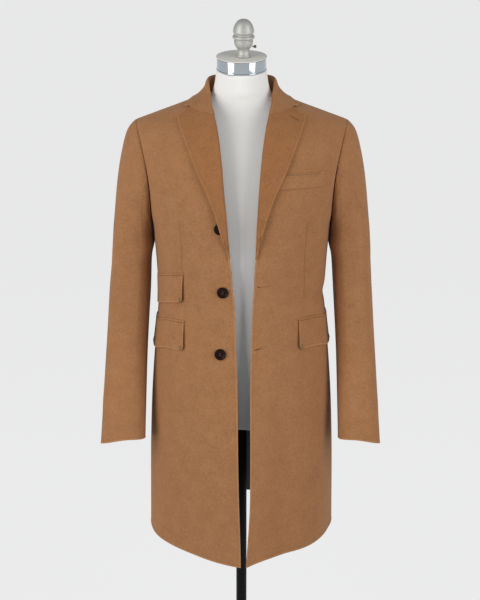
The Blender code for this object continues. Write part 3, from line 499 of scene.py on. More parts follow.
def cloth(name, points, outward, kinds, wall, creases=(), axes=(0, 2), dart=None,
          outside=wool, inside=None, hidden=None, rim=RIM_ROUND):
    """A sewn piece of cloth on its solid's form, and how it is held: kinds gives its first row, last
    row, first column and last column as an edge, a seam, a set seam with ease in it, a join that hardly
    shows, sunk where it is sewn down flat, or none of these. An edge is left plain where it is hidden,
    and the distance across a dart is given where some of it is folded away."""
    distances = side_distances(points)
    edge = nearest(distances, kinds, "edge")
    if hidden is not None:
        edge = np.where(hidden, nearest(distances[2:], kinds[2:], "edge"), edge)
    seam = np.minimum(nearest(distances, kinds, "seam"), nearest(distances, kinds, "set"))
    hold = np.minimum(seam, nearest(distances, kinds, "join"))
    columns_near = nearest(distances[2:], kinds[2:], "edge") < nearest(distances[:2], kinds[:2], "edge")
    along = np.where(columns_near, distances[0], distances[2])
    cells = np.cross(points[1:, 1:] - points[:-1, :-1], points[1:, :-1] - points[:-1, 1:])
    moved = EDGE_ROLL * np.exp(-(((edge - EDGE_ROLL_AT) / EDGE_ROLL_WIDTH) ** 2))
    moved -= SEAM_SINK * np.exp(-((seam / SEAM_WIDTH) ** 2))
    moved -= wall * np.exp(-((nearest(distances, kinds, "sunk") / SUNK_WIDTH) ** 2))
    moved += crease_depth(points, axes, creases) * smooth_step(hold / SEAM_HOLD)
    points = closed_seams(points, kinds) + grid_normals(points, outward) * moved[..., None]
    SURFACES[name] = points, grid_normals(points, outward)
    if dart is None:
        dart = np.ones_like(edge)
    rows, columns = edge.shape
    mesh = bmesh.new()
    bmesh.ops.create_grid(mesh, x_segments=columns - 1, y_segments=rows - 1, size=1.0)
    for vert, place in zip(mesh.verts, points.reshape(-1, 3)):
        vert.co = place
    for face in mesh.faces:
        face.smooth = True
    if outward < 0:
        bmesh.ops.reverse_faces(mesh, faces=mesh.faces[:])
    piece = placed(f"{name}_cloth", mesh)
    for label, values in (("edge", edge), ("along", along), ("seam", seam), ("dart", dart)):
        piece.data.attributes.new(label, "FLOAT", "POINT").data.foreach_set("value", values.ravel())
    piece.data.materials.append(outside)
    piece.data.materials.append(inside or outside)
    shell = piece.modifiers.new("wall", "SOLIDIFY")
    shell.thickness = wall
    shell.offset = -1.0
    shell.material_offset = 1
    rounded = piece.modifiers.new("rim", "BEVEL")
    rounded.width = rim
    rounded.segments = 2
    rounded.limit_method = "ANGLE"
    rounded.angle_limit = math.radians(RIM_ANGLE)
    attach(piece, "root")
    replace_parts(piece, name)


def dart_offset(points, places):
    """Signed distance across a dart, far outside above and below it."""
    heights, across = zip(*places)
    off = points[..., 0] - np.interp(points[..., 2], heights, across)
    beyond = np.maximum(heights[0] - points[..., 2], points[..., 2] - heights[-1])
    return np.where((beyond > 0.0) | (points[..., 1] > 0.0), 1.0, off)


def nipped(points):
    """The waist drawn in where the cloth breaks at the left side seam."""
    depth = NIP_DEPTH * np.exp(-(((points[..., 2] - NIP_Z) / NIP_RUN) ** 2))
    points = points.copy()
    points[..., 0] -= depth * smooth_step((points[..., 0] - NIP_X) / NIP_FADE)
    return points


def fronts():
    for name, start in FRONT_START.items():
        points, outward = sheet_grid(name, WOOL_WALL, FRONT_GRID, start)
        points = nipped(fine_grid(points, CLOTH_SPACING))
        cloth(
            name, points, outward, ("edge", "seam", "edge", "seam"), WOOL_WALL,
            FRONT_CREASES[name], dart=dart_offset(points, DART[name]), inside=lining,
        )


fronts()


# Backs: two pieces of the same wool joined by a seam down the middle, which opens into a plain vent
# with one side lapped over the other. They are shaped at the waist and hang free below it.
BACK_START = (0.0, 0.3, 0.40)
BACK_GRID = (28, 9)
VENT_FADE = 0.060
BACK_CREASES = {
    "back_right": (
        ((-0.060, 0.900), (-0.072, 0.560), 0.024, -0.0018),
        ((-0.118, 0.930), (-0.130, 0.540), 0.026, 0.0018),
        ((-0.168, 0.900), (-0.180, 0.640), 0.018, -0.0014),
        ((-0.040, 1.080), (-0.120, 1.060), 0.012, -0.0012),
        ((-0.055, 1.118), (-0.150, 1.108), 0.011, -0.0010),
        ((-0.140, 1.330), (-0.165, 1.235), 0.016, -0.0016),
    ),
    "back_left": (
        ((0.052, 0.930), (0.058, 0.600), 0.022, -0.0016),
        ((0.105, 0.890), (0.122, 0.520), 0.028, 0.0020),
        ((0.160, 0.930), (0.176, 0.580), 0.018, -0.0016),
        ((0.050, 1.070), (0.135, 1.088), 0.012, -0.0012),
        ((0.070, 1.124), (0.140, 1.112), 0.010, -0.0008),
        ((0.150, 1.345), (0.168, 1.250), 0.016, -0.0018),
    ),
}


def straight_weights(knots, at):
    """Weights that carry values at the knots to straight lines between them."""
    return np.array([np.interp(at, knots, line) for line in np.eye(len(knots))]).T


def backs():
    for name, creases in BACK_CREASES.items():
        coarse, outward = sheet_grid(name, WOOL_WALL, BACK_GRID, BACK_START)
        points = nipped(fine_grid(coarse, CLOTH_SPACING))
        straight = fine_grid(coarse, CLOTH_SPACING, straight_weights)[..., 0]
        off = smooth_step(ways(points, 1) / VENT_FADE)
        points[..., 0] = straight + (points[..., 0] - straight) * off
        cloth(
            name, points, outward, ("edge", "seam", "seam", "seam"), WOOL_WALL,
            creases, inside=lining,
        )


backs()


# Sleeves: a top and an under piece of wool joined by a seam at the front and one at the back, set
# into the armhole with a little ease. The cuff is turned in plain and the sleeve is lined.
SLEEVE = {
    "name": ("sleeve_top_right", "sleeve_under_right", "sleeve_top_left", "sleeve_under_left"),
    "grid": ((16, 16), (16, 10), (16, 16), (16, 10)),
    "start": ((-0.27, -0.4, 0.60), (-0.27, -0.4, 0.60), (0.27, -0.4, 0.60), (0.27, -0.4, 0.60)),
}
SLEEVE_SQUARE = 3.3
SLEEVE_HEAD = 1.275
SLEEVE_FADE = 0.070
ARMHOLE_FADE = 0.040
UNDERARM_BULGE = 0.0055
UNDERARM_Z = 1.168
UNDERARM_RUN = 0.022
SLEEVE_CREASES = {
    "sleeve_top_right": (
        ((-0.095, 1.135), (-0.020, 1.118), 0.013, -0.0012),
        ((-0.100, 1.075), (-0.030, 1.066), 0.010, -0.0010),
        ((-0.105, 1.010), (-0.045, 0.985), 0.012, -0.0010),
        ((-0.030, 1.330), (-0.055, 1.190), 0.018, 0.0012),
        ((0.045, 1.340), (0.050, 1.220), 0.014, -0.0012),
        ((-0.090, 0.900), (-0.080, 0.800), 0.014, 0.0010),
    ),
    "sleeve_top_left": (
        ((-0.095, 1.150), (-0.015, 1.130), 0.012, -0.0010),
        ((-0.100, 1.090), (-0.025, 1.074), 0.012, -0.0013),
        ((-0.105, 1.000), (-0.050, 0.984), 0.010, -0.0009),
        ((-0.030, 1.345), (-0.052, 1.200), 0.018, 0.0011),
        ((0.040, 1.330), (0.052, 1.210), 0.014, -0.0013),
        ((-0.085, 0.880), (-0.090, 0.800), 0.012, 0.0010),
    ),
    "sleeve_under_right": (
        ((-0.050, 1.120), (0.020, 1.100), 0.010, -0.0012),
        ((-0.050, 1.060), (0.010, 1.035), 0.010, -0.0010),
    ),
    "sleeve_under_left": (
        ((-0.055, 1.130), (0.015, 1.104), 0.010, -0.0012),
        ((-0.055, 1.062), (0.005, 1.044), 0.010, -0.0010),
    ),
}


def fuller(points, rings):
    """A sleeve piece with a flatter front, and the part under the arm let out against the body."""
    heights = rings[..., 2].mean(axis=1)
    centres = rings.mean(axis=1)
    spans = abs(rings - centres[:, None]).max(axis=1)
    level = points[..., 2]
    middle = np.stack([np.interp(level, heights, centres[:, axis]) for axis in (0, 1)], axis=2)
    reach = np.stack([np.interp(level, heights, spans[:, axis]) for axis in (0, 1)], axis=2)
    off = points[..., :2] - middle
    u, v = np.moveaxis(abs(off) / reach, 2, 0)
    swell = np.hypot(u, v) / (u**SLEEVE_SQUARE + v**SLEEVE_SQUARE) ** (1.0 / SLEEVE_SQUARE)
    hang = smooth_step((SLEEVE_HEAD - level) / SLEEVE_FADE)
    hang *= smooth_step(side_distances(points)[1] / ARMHOLE_FADE)
    off *= (1.0 + (swell - 1.0) * hang)[..., None]
    side = np.sign(middle[..., 0])
    inner = smooth_step(-side * off[..., 0] / reach[..., 0])
    off[..., 0] -= side * UNDERARM_BULGE * inner * np.exp(-(((level - UNDERARM_Z) / UNDERARM_RUN) ** 2))
    return np.concatenate([middle + off, level[..., None]], axis=2)


def sleeves():
    grids = {}
    for name, size, start in zip(*SLEEVE.values()):
        grids[name] = sheet_grid(name, WOOL_WALL, size, start)
    for name, (points, outward) in grids.items():
        label = name.rsplit("_", 1)[1]
        rings = np.concatenate([grids[f"sleeve_{part}_{label}"][0] for part in ("top", "under")], axis=1)
        points = fuller(fine_grid(points, CLOTH_SPACING), rings)
        cloth(
            name, points, outward, ("edge", "set", "join", "join"), WOOL_WALL,
            SLEEVE_CREASES[name], axes=(1, 2), inside=lining,
        )


sleeves()


# Lapels: the upper part of each front turned back along the roll line. They are two layers pressed
# together, so their edge is thicker than the rest and has the same hand stitching. They are given a
# darker copy of the camel wool: painted shade, as the lapels lie in less light than the chest.
LAPEL_WALL = 0.0024
LAPEL_RIM = 0.0008
LAPEL_GRID = (15, 10)
LAPEL_START = (0.0, -0.2, 1.10)
LAPEL_SPACING = 0.0035
LAPEL_TAPER = 0.040
LAPEL_POINT = 0.30
NOTCH_X = 0.109
# painted shade: a darker copy of the camel wool's colours, standing for the lapels lying in less light than
# the chest
LAPEL_SHADE_DEEP = (0.233, 0.097, 0.033, 1.0)
LAPEL_SHADE_PALE = (0.392, 0.171, 0.064, 1.0)


def lapel_shade_links(start):
    return wool_links(start, LAPEL_SHADE_DEEP, LAPEL_SHADE_PALE)


shaded_lapel_wool = finish("shaded_lapel_wool", WOOL_SURFACE, lapel_shade_links)


def tapered(points):
    """The lapel with its lower end drawn down to a point where it runs into the front's edge."""
    share = smooth_step(ways(points, 0)[:, :1] / LAPEL_TAPER)[..., None]
    foot = points[:, :1]
    return foot + (points - foot) * (LAPEL_POINT + (1.0 - LAPEL_POINT) * share)


def lapels():
    for side in ("right", "left"):
        points, outward = sheet_grid(f"lapel_{side}", LAPEL_WALL, LAPEL_GRID, LAPEL_START)
        points = tapered(fine_grid(points, LAPEL_SPACING))
        cloth(
            f"lapel_{side}", points, outward, ("edge", "edge", "none", "edge"), LAPEL_WALL,
            outside=shaded_lapel_wool, hidden=abs(points[..., 0]) < NOTCH_X, rim=LAPEL_RIM,
        )


lapels()


# Collar: one folded piece, its stand sewn to the neck edge and its leaf falling over the seam. It is
# shaped with the iron so that it lies round the neck, and its leaf is sewn to the lapels up to the notch.
COLLAR_GRID = (43, 9)
COLLAR_START = (-0.055, -0.10, 1.44)
NOTCH_OPEN = 0.0010
NOTCH_LEAD = 0.0020
NOTCH_RUN = 0.0050
GORGE_REACH = 0.0045
LEAF_X = 0.058
LEAF_RUN = 0.009
COLLAR_FADE = 0.030


def nearest_on(line, places):
    """For each place the nearest point of a line drawn through points."""
    start = line[:-1]
    run = np.diff(line, axis=0)
    share = ((places[:, None] - start) * run).sum(axis=2) / (run**2).sum(axis=1)
    spots = start + run * np.clip(share, 0.0, 1.0)[..., None]
    best = np.argmin(np.linalg.norm(spots - places[:, None], axis=2), axis=1)
    return spots[np.arange(len(places)), best]


def notched(points):
    """The collar with its ends drawn to the lapels, and the notch beyond them left open."""
    points = points.copy()
    for ends in (points, points[::-1]):
        lapel = "lapel_right" if ends[0, -1, 0] < 0.0 else "lapel_left"
        step = nearest_on(SURFACES[lapel][0][-1], ends[0]) - ends[0]
        beyond = smooth_step((abs(ends[0, :, 0]) - NOTCH_X + NOTCH_LEAD) / NOTCH_RUN)
        sewn = (1.0 - beyond) * smooth_step((abs(ends[0, :, 0]) - LEAF_X) / LEAF_RUN)
        sewn *= smooth_step(2.0 - 2.0 * np.linalg.norm(step, axis=1) / GORGE_REACH)
        run = ends[1] - ends[0]
        run /= np.linalg.norm(run, axis=1, keepdims=True)
        fade = 1.0 - smooth_step(ways(ends, 0) / COLLAR_FADE)
        ends += (step * sewn[:, None] + run * (NOTCH_OPEN * beyond)[:, None]) * fade[..., None]
    return points


def collar():
    points, outward = sheet_grid("collar", LAPEL_WALL, COLLAR_GRID, COLLAR_START)
    points = notched(fine_grid(points, LAPEL_SPACING))
    cloth(
        "collar", points, outward, ("edge", "edge", "none", "edge"), LAPEL_WALL,
        hidden=abs(points[..., 0]) < NOTCH_X, rim=LAPEL_RIM,
    )


collar()


# Breast welt: a doubled strip of wool sewn over the mouth of the breast pocket along its lower edge
# and ends, so that only its upper edge is free.
WELT_GRID = (3, 7)
WELT_START = (0.07, -0.2, 1.30)
FLAP_RIM = 0.0006
FLAP_SPACING = 0.003


def breast_welt():
    points, outward = sheet_grid("breast_welt", WOOL_WALL, WELT_GRID, WELT_START)
    points = fine_grid(points, FLAP_SPACING)
    cloth(
        "breast_welt", points, outward, ("sunk", "edge", "sunk", "sunk"), WOOL_WALL,
        rim=FLAP_RIM,
    )


breast_welt()


# Pocket flaps and jets: each flap is a doubled piece with rounded lower corners that hangs from a
# cut in the front, and the jet is the narrow piping that finishes the cut above it.
FLAP = {
    "name": ("ticket_flap", "hip_flap_right", "hip_flap_left"),
    "start": ((-0.12, -0.3, 1.04), (-0.12, -0.3, 0.94), (0.12, -0.3, 0.94)),
    "rests_on": ("front_right", "front_right", "front_left"),
}
FLAP_GRID = (4, 17)
JET_WALL = 0.0014
JET_GRID = (2, 10)
JET_SPACING = 0.002
JET = {
    "name": ("ticket_jet", "hip_jet_right", "hip_jet_left"),
    "start": ((-0.12, -0.3, 1.10), (-0.12, -0.3, 1.00), (0.12, -0.3, 1.00)),
    "rests_on": ("front_right", "front_right", "front_left"),
}


def pockets():
    for name, start, front in zip(*FLAP.values()):
        points, outward = sheet_grid(name, WOOL_WALL, FLAP_GRID, start)
        points = fine_grid(points, FLAP_SPACING)
        cloth(
            name, points, outward, ("edge", "none", "edge", "edge"), WOOL_WALL,
            rim=FLAP_RIM,
        )
    for name, start, front in zip(*JET.values()):
        points, outward = sheet_grid(name, JET_WALL, JET_GRID, start)
        points = fine_grid(points, JET_SPACING)
        cloth(name, points, outward, ("none",) * 4, JET_WALL)


pockets()


# Buttons: turned discs of dark horn with a raised rim and a dished middle, sewn to the right front
# through four holes with two bars of brown thread.
BUTTON = {
    "node": ("button_top", "button_middle", "button_bottom"),
    "turn": (12.0, -8.0, 5.0),
}
BUTTON_PROFILE = (
    (0.0, 0.0), (0.0088, 0.0), (0.0108, 0.0005), (0.0120, 0.0013), (0.0124, 0.0021), (0.0121, 0.0030),
    (0.0113, 0.0036), (0.0104, 0.0038), (0.0096, 0.0036), (0.0088, 0.0031), (0.0078, 0.0028), (0.0, 0.0027),
)
BUTTON_SEGMENTS = 56
TURNED_MERGE = 0.000001
HOLE_RADIUS = 0.0010
HOLE_OFF = 0.0021
HOLE_DEPTH = 0.02
HOLE_SEGMENTS = 16
BAR_RADIUS = 0.0005
BAR_FOOT = 0.0024
BAR_ARCH = 0.0007
BAR_STEPS = 8
THREAD_END = 0.55
THREAD_SHARP = 80.0


def horn_links(start):
    streak = start.noise(1.0, detail=3.0, roughness=0.6, stretch=(320.0, 320.0, 1300.0))
    colour = start.blend(streak, (0.006, 0.0016, 0.001, 1.0), (0.018, 0.005, 0.003, 1.0))
    return {"Base Color": colour, "Normal": start.bump(start.noise(2600.0), distance=0.0001, strength=0.25)}


def thread_links(dark, light, scale=2600.0, strength=0.5):
    """Links of a twisted thread between two colours."""
    def links(start):
        twist = start.noise(scale, detail=2.0, roughness=0.6)
        relief = start.bump(twist, distance=0.0002, strength=strength)
        return {"Base Color": start.blend(twist, dark, light), "Normal": relief}
    return links


horn = finish("dark_horn", {"Roughness": 0.24, "Specular IOR Level": 0.1}, horn_links)
brown_thread = finish(
    "brown_thread", {"Roughness": 0.8},
    thread_links((0.090, 0.055, 0.040, 1.0), (0.200, 0.130, 0.100, 1.0), scale=3200.0, strength=0.6),
)


def finished(name, mesh, material, sharp=40.0):
    """An object of a mesh that is complete, smooth but for its sharp edges."""
    for face in mesh.faces:
        face.smooth = True
    piece = placed(name, mesh)
    piece.data.set_sharp_from_angle(angle=math.radians(sharp))
    piece.data.materials.append(material)
    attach(piece, "root")
    return piece


def turned(mesh, profile, segments, place):
    """Adds a turned shape, its profile given as radius and height, at a place."""
    verts = [mesh.verts.new((radius, 0.0, height)) for radius, height in profile]
    edges = [mesh.edges.new(pair) for pair in zip(verts, verts[1:])]
    bmesh.ops.spin(
        mesh, geom=verts + edges, cent=(0.0, 0.0, 0.0), axis=(0.0, 0.0, 1.0),
        angle=2.0 * math.pi, steps=segments, use_merge=True, use_normal_flip=True,
    )
    bmesh.ops.remove_doubles(mesh, verts=mesh.verts[:], dist=TURNED_MERGE)
    bmesh.ops.recalc_face_normals(mesh, faces=mesh.faces[:])
    bmesh.ops.transform(mesh, matrix=place, verts=mesh.verts[:])


def tube(mesh, points, radius, sides=8):
    """Adds a rounded length of thread through points."""
    points = [Vector(point) for point in points]
    last = len(points) - 1
    rings = []
    for number, point in enumerate(points):
        way = points[min(number + 1, last)] - points[max(number - 1, 0)]
        end = number in (0, last)
        ring = bmesh.ops.create_circle(
            mesh, cap_ends=end, segments=sides, radius=radius * (THREAD_END if end else 1.0),
            matrix=Matrix.Translation(point) @ way.to_track_quat("Z", "X").to_matrix().to_4x4(),
        )["verts"]
        rings.append(dict.fromkeys(edge for vert in ring for edge in vert.link_edges))
    for lower, upper in zip(rings, rings[1:]):
        bmesh.ops.bridge_loops(mesh, edges=[*lower, *upper])
    skin = dict.fromkeys(face for ring in rings for edge in ring for face in edge.link_faces)
    bmesh.ops.recalc_face_normals(mesh, faces=list(skin))


def axis_place(node, turn):
    """Place of a flat round solid: the middle of its back and its axis out of the cloth."""
    mesh = solid_mesh(node)
    points = np.array([vert.co for vert in mesh.verts])
    mesh.free()
    middle = points.mean(axis=0)
    axis = np.linalg.svd(points - middle)[2][2]
    if axis[1] > 0.0:
        axis = -axis
    back = middle + axis * ((points - middle) @ axis).min()
    level = Vector((0.0, 0.0, 1.0)).rotation_difference(Vector(axis)).to_matrix().to_4x4()
    return Matrix.Translation(Vector(back)) @ level @ Matrix.Rotation(math.radians(turn), 4, "Z")


def cut_holes(piece, places, radius, place):
    """Drills round holes through a piece along its own axis."""
    mesh = bmesh.new()
    for x, y in places:
        bmesh.ops.create_cone(
            mesh, cap_ends=True, segments=HOLE_SEGMENTS, radius1=radius, radius2=radius, depth=HOLE_DEPTH,
            matrix=place @ Matrix.Translation((x, y, 0.0)),
        )
    drill = placed("drill", mesh)
    cut = piece.modifiers.new("holes", "BOOLEAN")
    cut.object = drill
    cut.solver = "EXACT"
    drilled = bpy.data.meshes.new_from_object(piece.evaluated_get(bpy.context.evaluated_depsgraph_get()))
    piece.modifiers.clear()
    piece.data = drilled
    bpy.data.objects.remove(drill)


def buttons():
    holes = [(x * HOLE_OFF, y * HOLE_OFF) for x in (-1, 1) for y in (-1, 1)]
    for node, turn in zip(*BUTTON.values()):
        place = axis_place(node, turn)
        mesh = bmesh.new()
        turned(mesh, BUTTON_PROFILE, BUTTON_SEGMENTS, place)
        disc = finished(f"{node}_disc", mesh, horn)
        cut_holes(disc, holes, HOLE_RADIUS, place)
        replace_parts(disc, node)
        mesh = bmesh.new()
        for y in (-HOLE_OFF, HOLE_OFF):
            bar = []
            for share in np.linspace(0.0, 1.0, BAR_STEPS + 1):
                height = BAR_FOOT + BAR_ARCH * math.sin(math.pi * share) ** 0.5
                bar.append(place @ Vector((HOLE_OFF * (2.0 * share - 1.0), y, height)))
            tube(mesh, bar, BAR_RADIUS)
        finished(f"{node}_thread", mesh, brown_thread, THREAD_SHARP)


buttons()


# Hand sewing: buttonholes worked in camel silk on the left front and lapel, each with a dark tube in
# its open part as painted shade, a short dark tube at each notch as painted shade under the collar's
# end, pale green tacks that hold the flaps' lower corners down and a line of olive basting along the
# top of the breast welt.
BUTTONHOLE = {
    "cloth": ("front_left", "front_left", "lapel_left"),
    "eye": ((0.0344, 1.1010), (0.0278, 0.9625), (0.1200, 1.4460)),
    "end": ((0.0616, 1.1030), (0.0530, 0.9700), (0.1015, 1.4560)),
    "open": (0.14, 0.53, 0.96),
    "half": (0.0014, 0.0009, 0.0004),
}
PURL_STEP = 0.0009
PURL_REACH = 0.0013
PURL_RADIUS = 0.0004
PURL_LIFT = 0.0001
LIP_SHARE = 0.7
SLIT_TOP = 0.0007
SLIT_STEPS = 6
SEWING_LIFT = 0.0003
TACK_FLAPS = ("ticket_flap", "hip_flap_right", "hip_flap_left")
TACK_UP = 0.0055
TACK_IN = 0.0120
TACK_HALF = 0.0052
TACK_RADIUS = 0.0011
TACK_TURNS = (62.0, 122.0)
# painted shade: a dark tube along the collar's end at each notch, standing for the shade under the collar's
# corner
NOTCH_SHADE_X = (0.1085, 0.1170)
NOTCH_SHADE_SINK = 0.00096
NOTCH_SHADE_RADIUS = 0.0012
BASTING_STEP = 0.0105
BASTING_STITCH = 0.0092
BASTING_RADIUS = 0.0006
BASTING_ROW = -3
BASTING_LEAD = 0.00105
BASTING_DIP = -0.0003
BASTING_SHARES = (0.0, 0.12, 0.5, 0.88, 1.0)

# painted light: the silk is a little paler than the wool, to make up for the shade between its stitches
camel_silk = finish(
    "camel_silk", {"Roughness": 0.6}, thread_links((0.330, 0.150, 0.060, 1.0), (0.460, 0.215, 0.092, 1.0)),
)
green_thread = finish(
    "green_thread", {"Roughness": 0.7}, thread_links((0.080, 0.105, 0.030, 1.0), (0.160, 0.190, 0.070, 1.0)),
)
olive_thread = finish(
    "olive_thread", {"Roughness": 0.7}, thread_links((0.060, 0.048, 0.018, 1.0), (0.110, 0.090, 0.036, 1.0)),
)
# painted shade: a dark brown for the tubes in the buttonholes' open parts and at the notches, standing for
# shade
painted_slit_shade = finish(
    "slit_shade", {"Roughness": 0.9}, thread_links((0.034, 0.017, 0.010, 1.0), (0.056, 0.029, 0.017, 1.0)),
)


def on_cloth(name, x, z, lift):
    """The point on a piece's right side seen straight from the front at a place, lifted off it."""
    points, normals = SURFACES[name]
    places = points.reshape(-1, 3)
    off = np.hypot(places[:, 0] - x, places[:, 2] - z) + np.where(places[:, 1] > 0.0, 1.0, 0.0)
    best = int(np.argmin(off))
    place = places[best]
    normal = normals.reshape(-1, 3)[best]
    y = place[1] - (normal[0] * (x - place[0]) + normal[2] * (z - place[2])) / normal[1]
    return Vector((x, y, z)) + Vector(normal) * lift


def buttonholes():
    for number, (name, eye, end, share, half) in enumerate(zip(*BUTTONHOLE.values())):
        run = Vector((end[0] - eye[0], end[1] - eye[1]))
        length = run.length
        ahead = run / length
        across = Vector((-ahead.y, ahead.x))
        silk = bmesh.new()
        count = int(length / PURL_STEP)
        for step in range(count):
            way = (step + 0.5) / count
            middle = Vector(eye) + ahead * (length * way)
            lip = half * LIP_SHARE if way < share else PURL_RADIUS * LIP_SHARE
            for side in (-1, 1):
                inner = middle + across * side * lip
                outer = middle + across * side * (lip + PURL_REACH)
                bar = [on_cloth(name, *(inner + (outer - inner) * share_out), PURL_LIFT)
                       for share_out in (0.0, 0.5, 1.0)]
                tube(silk, bar, PURL_RADIUS, sides=6)
        finished(f"buttonhole_{number + 1}_purl", silk, camel_silk, THREAD_SHARP)
        # painted shade: a dark tube along the open part of each buttonhole, standing for the shade inside
        # the slit
        slit = bmesh.new()
        line = [
            on_cloth(name, *(Vector(eye) + run * (share * step / SLIT_STEPS)), SLIT_TOP - half)
            for step in range(SLIT_STEPS + 1)
        ]
        tube(slit, line, half)
        finished(f"buttonhole_{number + 1}_slit", slit, painted_slit_shade, THREAD_SHARP)


# painted shade: dark tubes along the collar's ends at the notches, standing for the shade under its corners
def notch_shades():
    points, normals = SURFACES["collar"]
    for row in (0, -1):
        mesh = bmesh.new()
        across = abs(points[row, :, 0])
        shown = (across > NOTCH_SHADE_X[0]) & (across < NOTCH_SHADE_X[1])
        line = points[row, shown] - normals[row, shown] * NOTCH_SHADE_SINK
        tube(mesh, line, NOTCH_SHADE_RADIUS)
        label = "right" if points[row, -1, 0] < 0.0 else "left"
        finished(f"notch_shade_{label}", mesh, painted_slit_shade, THREAD_SHARP)


def tacks():
    for name in TACK_FLAPS:
        points, normals = SURFACES[name]
        up, _, across, behind = side_distances(points)
        mesh = bmesh.new()
        for distance in (across, behind):
            row, column = np.unravel_index(
                np.argmin(abs(up - TACK_UP) + abs(distance - TACK_IN)), up.shape,
            )
            middle = Vector(points[row, column]) + Vector(normals[row, column]) * SEWING_LIFT
            level = Vector(normals[row, column]).to_track_quat("Z", "Y").to_matrix()
            for turn in TACK_TURNS:
                way = level @ Vector((math.cos(math.radians(turn)), math.sin(math.radians(turn)), 0.0))
                line = [middle + way * TACK_HALF * share for share in (-1.0, 0.0, 1.0)]
                tube(mesh, line, TACK_RADIUS, sides=6)
        finished(f"{name}_tacks", mesh, green_thread, THREAD_SHARP)


def basting():
    points, normals = SURFACES["breast_welt"]
    top = points[BASTING_ROW]
    out = normals[BASTING_ROW]
    way = ways(points, 1)[BASTING_ROW]
    mesh = bmesh.new()
    for stitch in range(int(way[-1] / BASTING_STEP)):
        line = []
        for share in BASTING_SHARES:
            at = BASTING_LEAD + stitch * BASTING_STEP + BASTING_STITCH * share
            lift = BASTING_DIP if share in (0.0, 1.0) else SEWING_LIFT
            line.append([np.interp(at, way, (top + out * lift)[:, axis]) for axis in range(3)])
        tube(mesh, line, BASTING_RADIUS, sides=6)
    finished("welt_basting", mesh, olive_thread, THREAD_SHARP)


buttonholes()
notch_shades()
tacks()
basting()


# Torso of the form: a smooth padded shell under a close cream jersey, with the neck leaning a little
# forward and the underside closed.
JERSEY_SURFACE = {"Roughness": 0.9, "Specular IOR Level": 0.2, "Sheen Weight": 0.1}
JERSEY_SHARP = 60.0


def jersey_links(start):
    rib = start.noise(1.0, detail=2.0, roughness=0.5, stretch=(1400.0, 1400.0, 420.0))
    soft = start.noise(9.0, detail=2.0, roughness=0.5)
    colour = start.blend(soft * 0.7 + rib * 0.3, (0.840, 0.815, 0.770, 1.0), (0.930, 0.915, 0.885, 1.0))
    return {"Base Color": colour, "Normal": start.bump(rib, distance=0.0003, strength=0.35)}


jersey = finish("cream_jersey", JERSEY_SURFACE, jersey_links)


def form_torso():
    mesh = solid_mesh("form_torso")
    bmesh.ops.join_triangles(
        mesh, faces=mesh.faces[:], angle_face_threshold=math.pi, angle_shape_threshold=math.pi,
    )
    piece = finished("form_jersey", mesh, jersey, JERSEY_SHARP)
    smooth = piece.modifiers.new("smooth", "SUBSURF")
    smooth.levels = 2
    smooth.render_levels = 2
    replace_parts(piece, "form_torso")


form_torso()


# Neck fittings: a bright band of chromed steel round the neck, a thin disc in cream lacquer that closes
# it and an acorn finial of satin pewter, held by a small brass thumb screw in its cup.
NECK_TOP = (0.0, -0.007, 1.546)
NECK_TILT = 10.0
FINIAL_OFF = (0.0042, -0.0095, 0.0)
BAND_PROFILE = (
    (0.0, 0.0003), (0.0528, 0.0003), (0.0536, 0.0008), (0.0538, 0.0015), (0.0536, 0.0023), (0.0530, 0.0028),
    (0.0530, 0.0250), (0.0528, 0.0260), (0.0520, 0.0265), (0.0, 0.0265),
)
CAP_PROFILE = (
    (0.0, 0.0268), (0.0535, 0.0268), (0.0544, 0.0272), (0.0548, 0.0280), (0.0545, 0.0290), (0.0530, 0.0296),
    (0.0, 0.0296),
)
FINIAL_PROFILE = (
    (0.0, 0.0299), (0.0148, 0.0299), (0.0157, 0.0314), (0.0157, 0.0338), (0.0146, 0.0354),
    (0.0132, 0.0395), (0.0128, 0.0440), (0.0138, 0.0480), (0.0168, 0.0520), (0.0193, 0.0568),
    (0.0203, 0.0615), (0.0203, 0.0648), (0.0188, 0.0668), (0.0190, 0.0684), (0.0224, 0.0700),
    (0.0234, 0.0729), (0.0224, 0.0757), (0.0196, 0.0775), (0.0198, 0.0795), (0.0217, 0.0815),
    (0.0223, 0.0842), (0.0219, 0.0885), (0.0203, 0.0945), (0.0175, 0.1005), (0.0132, 0.1060),
    (0.0074, 0.1096), (0.0, 0.1108),
)
FINIAL_SPACING = 0.0008
SCREW_SEAT = (0.0188, 0.0, 0.0520)
SCREW_PROFILE = (
    (0.0, 0.0), (0.0016, 0.0), (0.0016, 0.0030), (0.0026, 0.0034), (0.0030, 0.0042), (0.0030, 0.0080),
    (0.0026, 0.0085), (0.0, 0.0085),
)
FITTING_SEGMENTS = 72


def chrome_links(start):
    wipe = start.noise(60.0, detail=4.0, roughness=0.6)
    return {"Roughness": 0.05 + wipe * 0.08}


def lacquer_links(start):
    brushed = start.noise(1.0, detail=3.0, roughness=0.6, stretch=(900.0, 60.0, 200.0))
    colour = start.blend(brushed, (0.660, 0.650, 0.570, 1.0), (0.800, 0.790, 0.710, 1.0))
    return {"Base Color": colour, "Roughness": 0.35 + brushed * 0.25}


def pewter_links(start):
    cast = start.noise(420.0, detail=4.0, roughness=0.6)
    colour = start.blend(cast, (0.400, 0.395, 0.365, 1.0), (0.520, 0.515, 0.480, 1.0))
    relief = start.bump(cast, distance=0.0002, strength=0.3)
    return {"Base Color": colour, "Roughness": 0.44 + cast * 0.18, "Normal": relief}


def brass_links(start):
    worn = start.noise(900.0, detail=3.0, roughness=0.6)
    colour = start.blend(worn, (0.120, 0.060, 0.030, 1.0), (0.300, 0.170, 0.080, 1.0))
    return {"Base Color": colour, "Roughness": 0.30 + worn * 0.25}


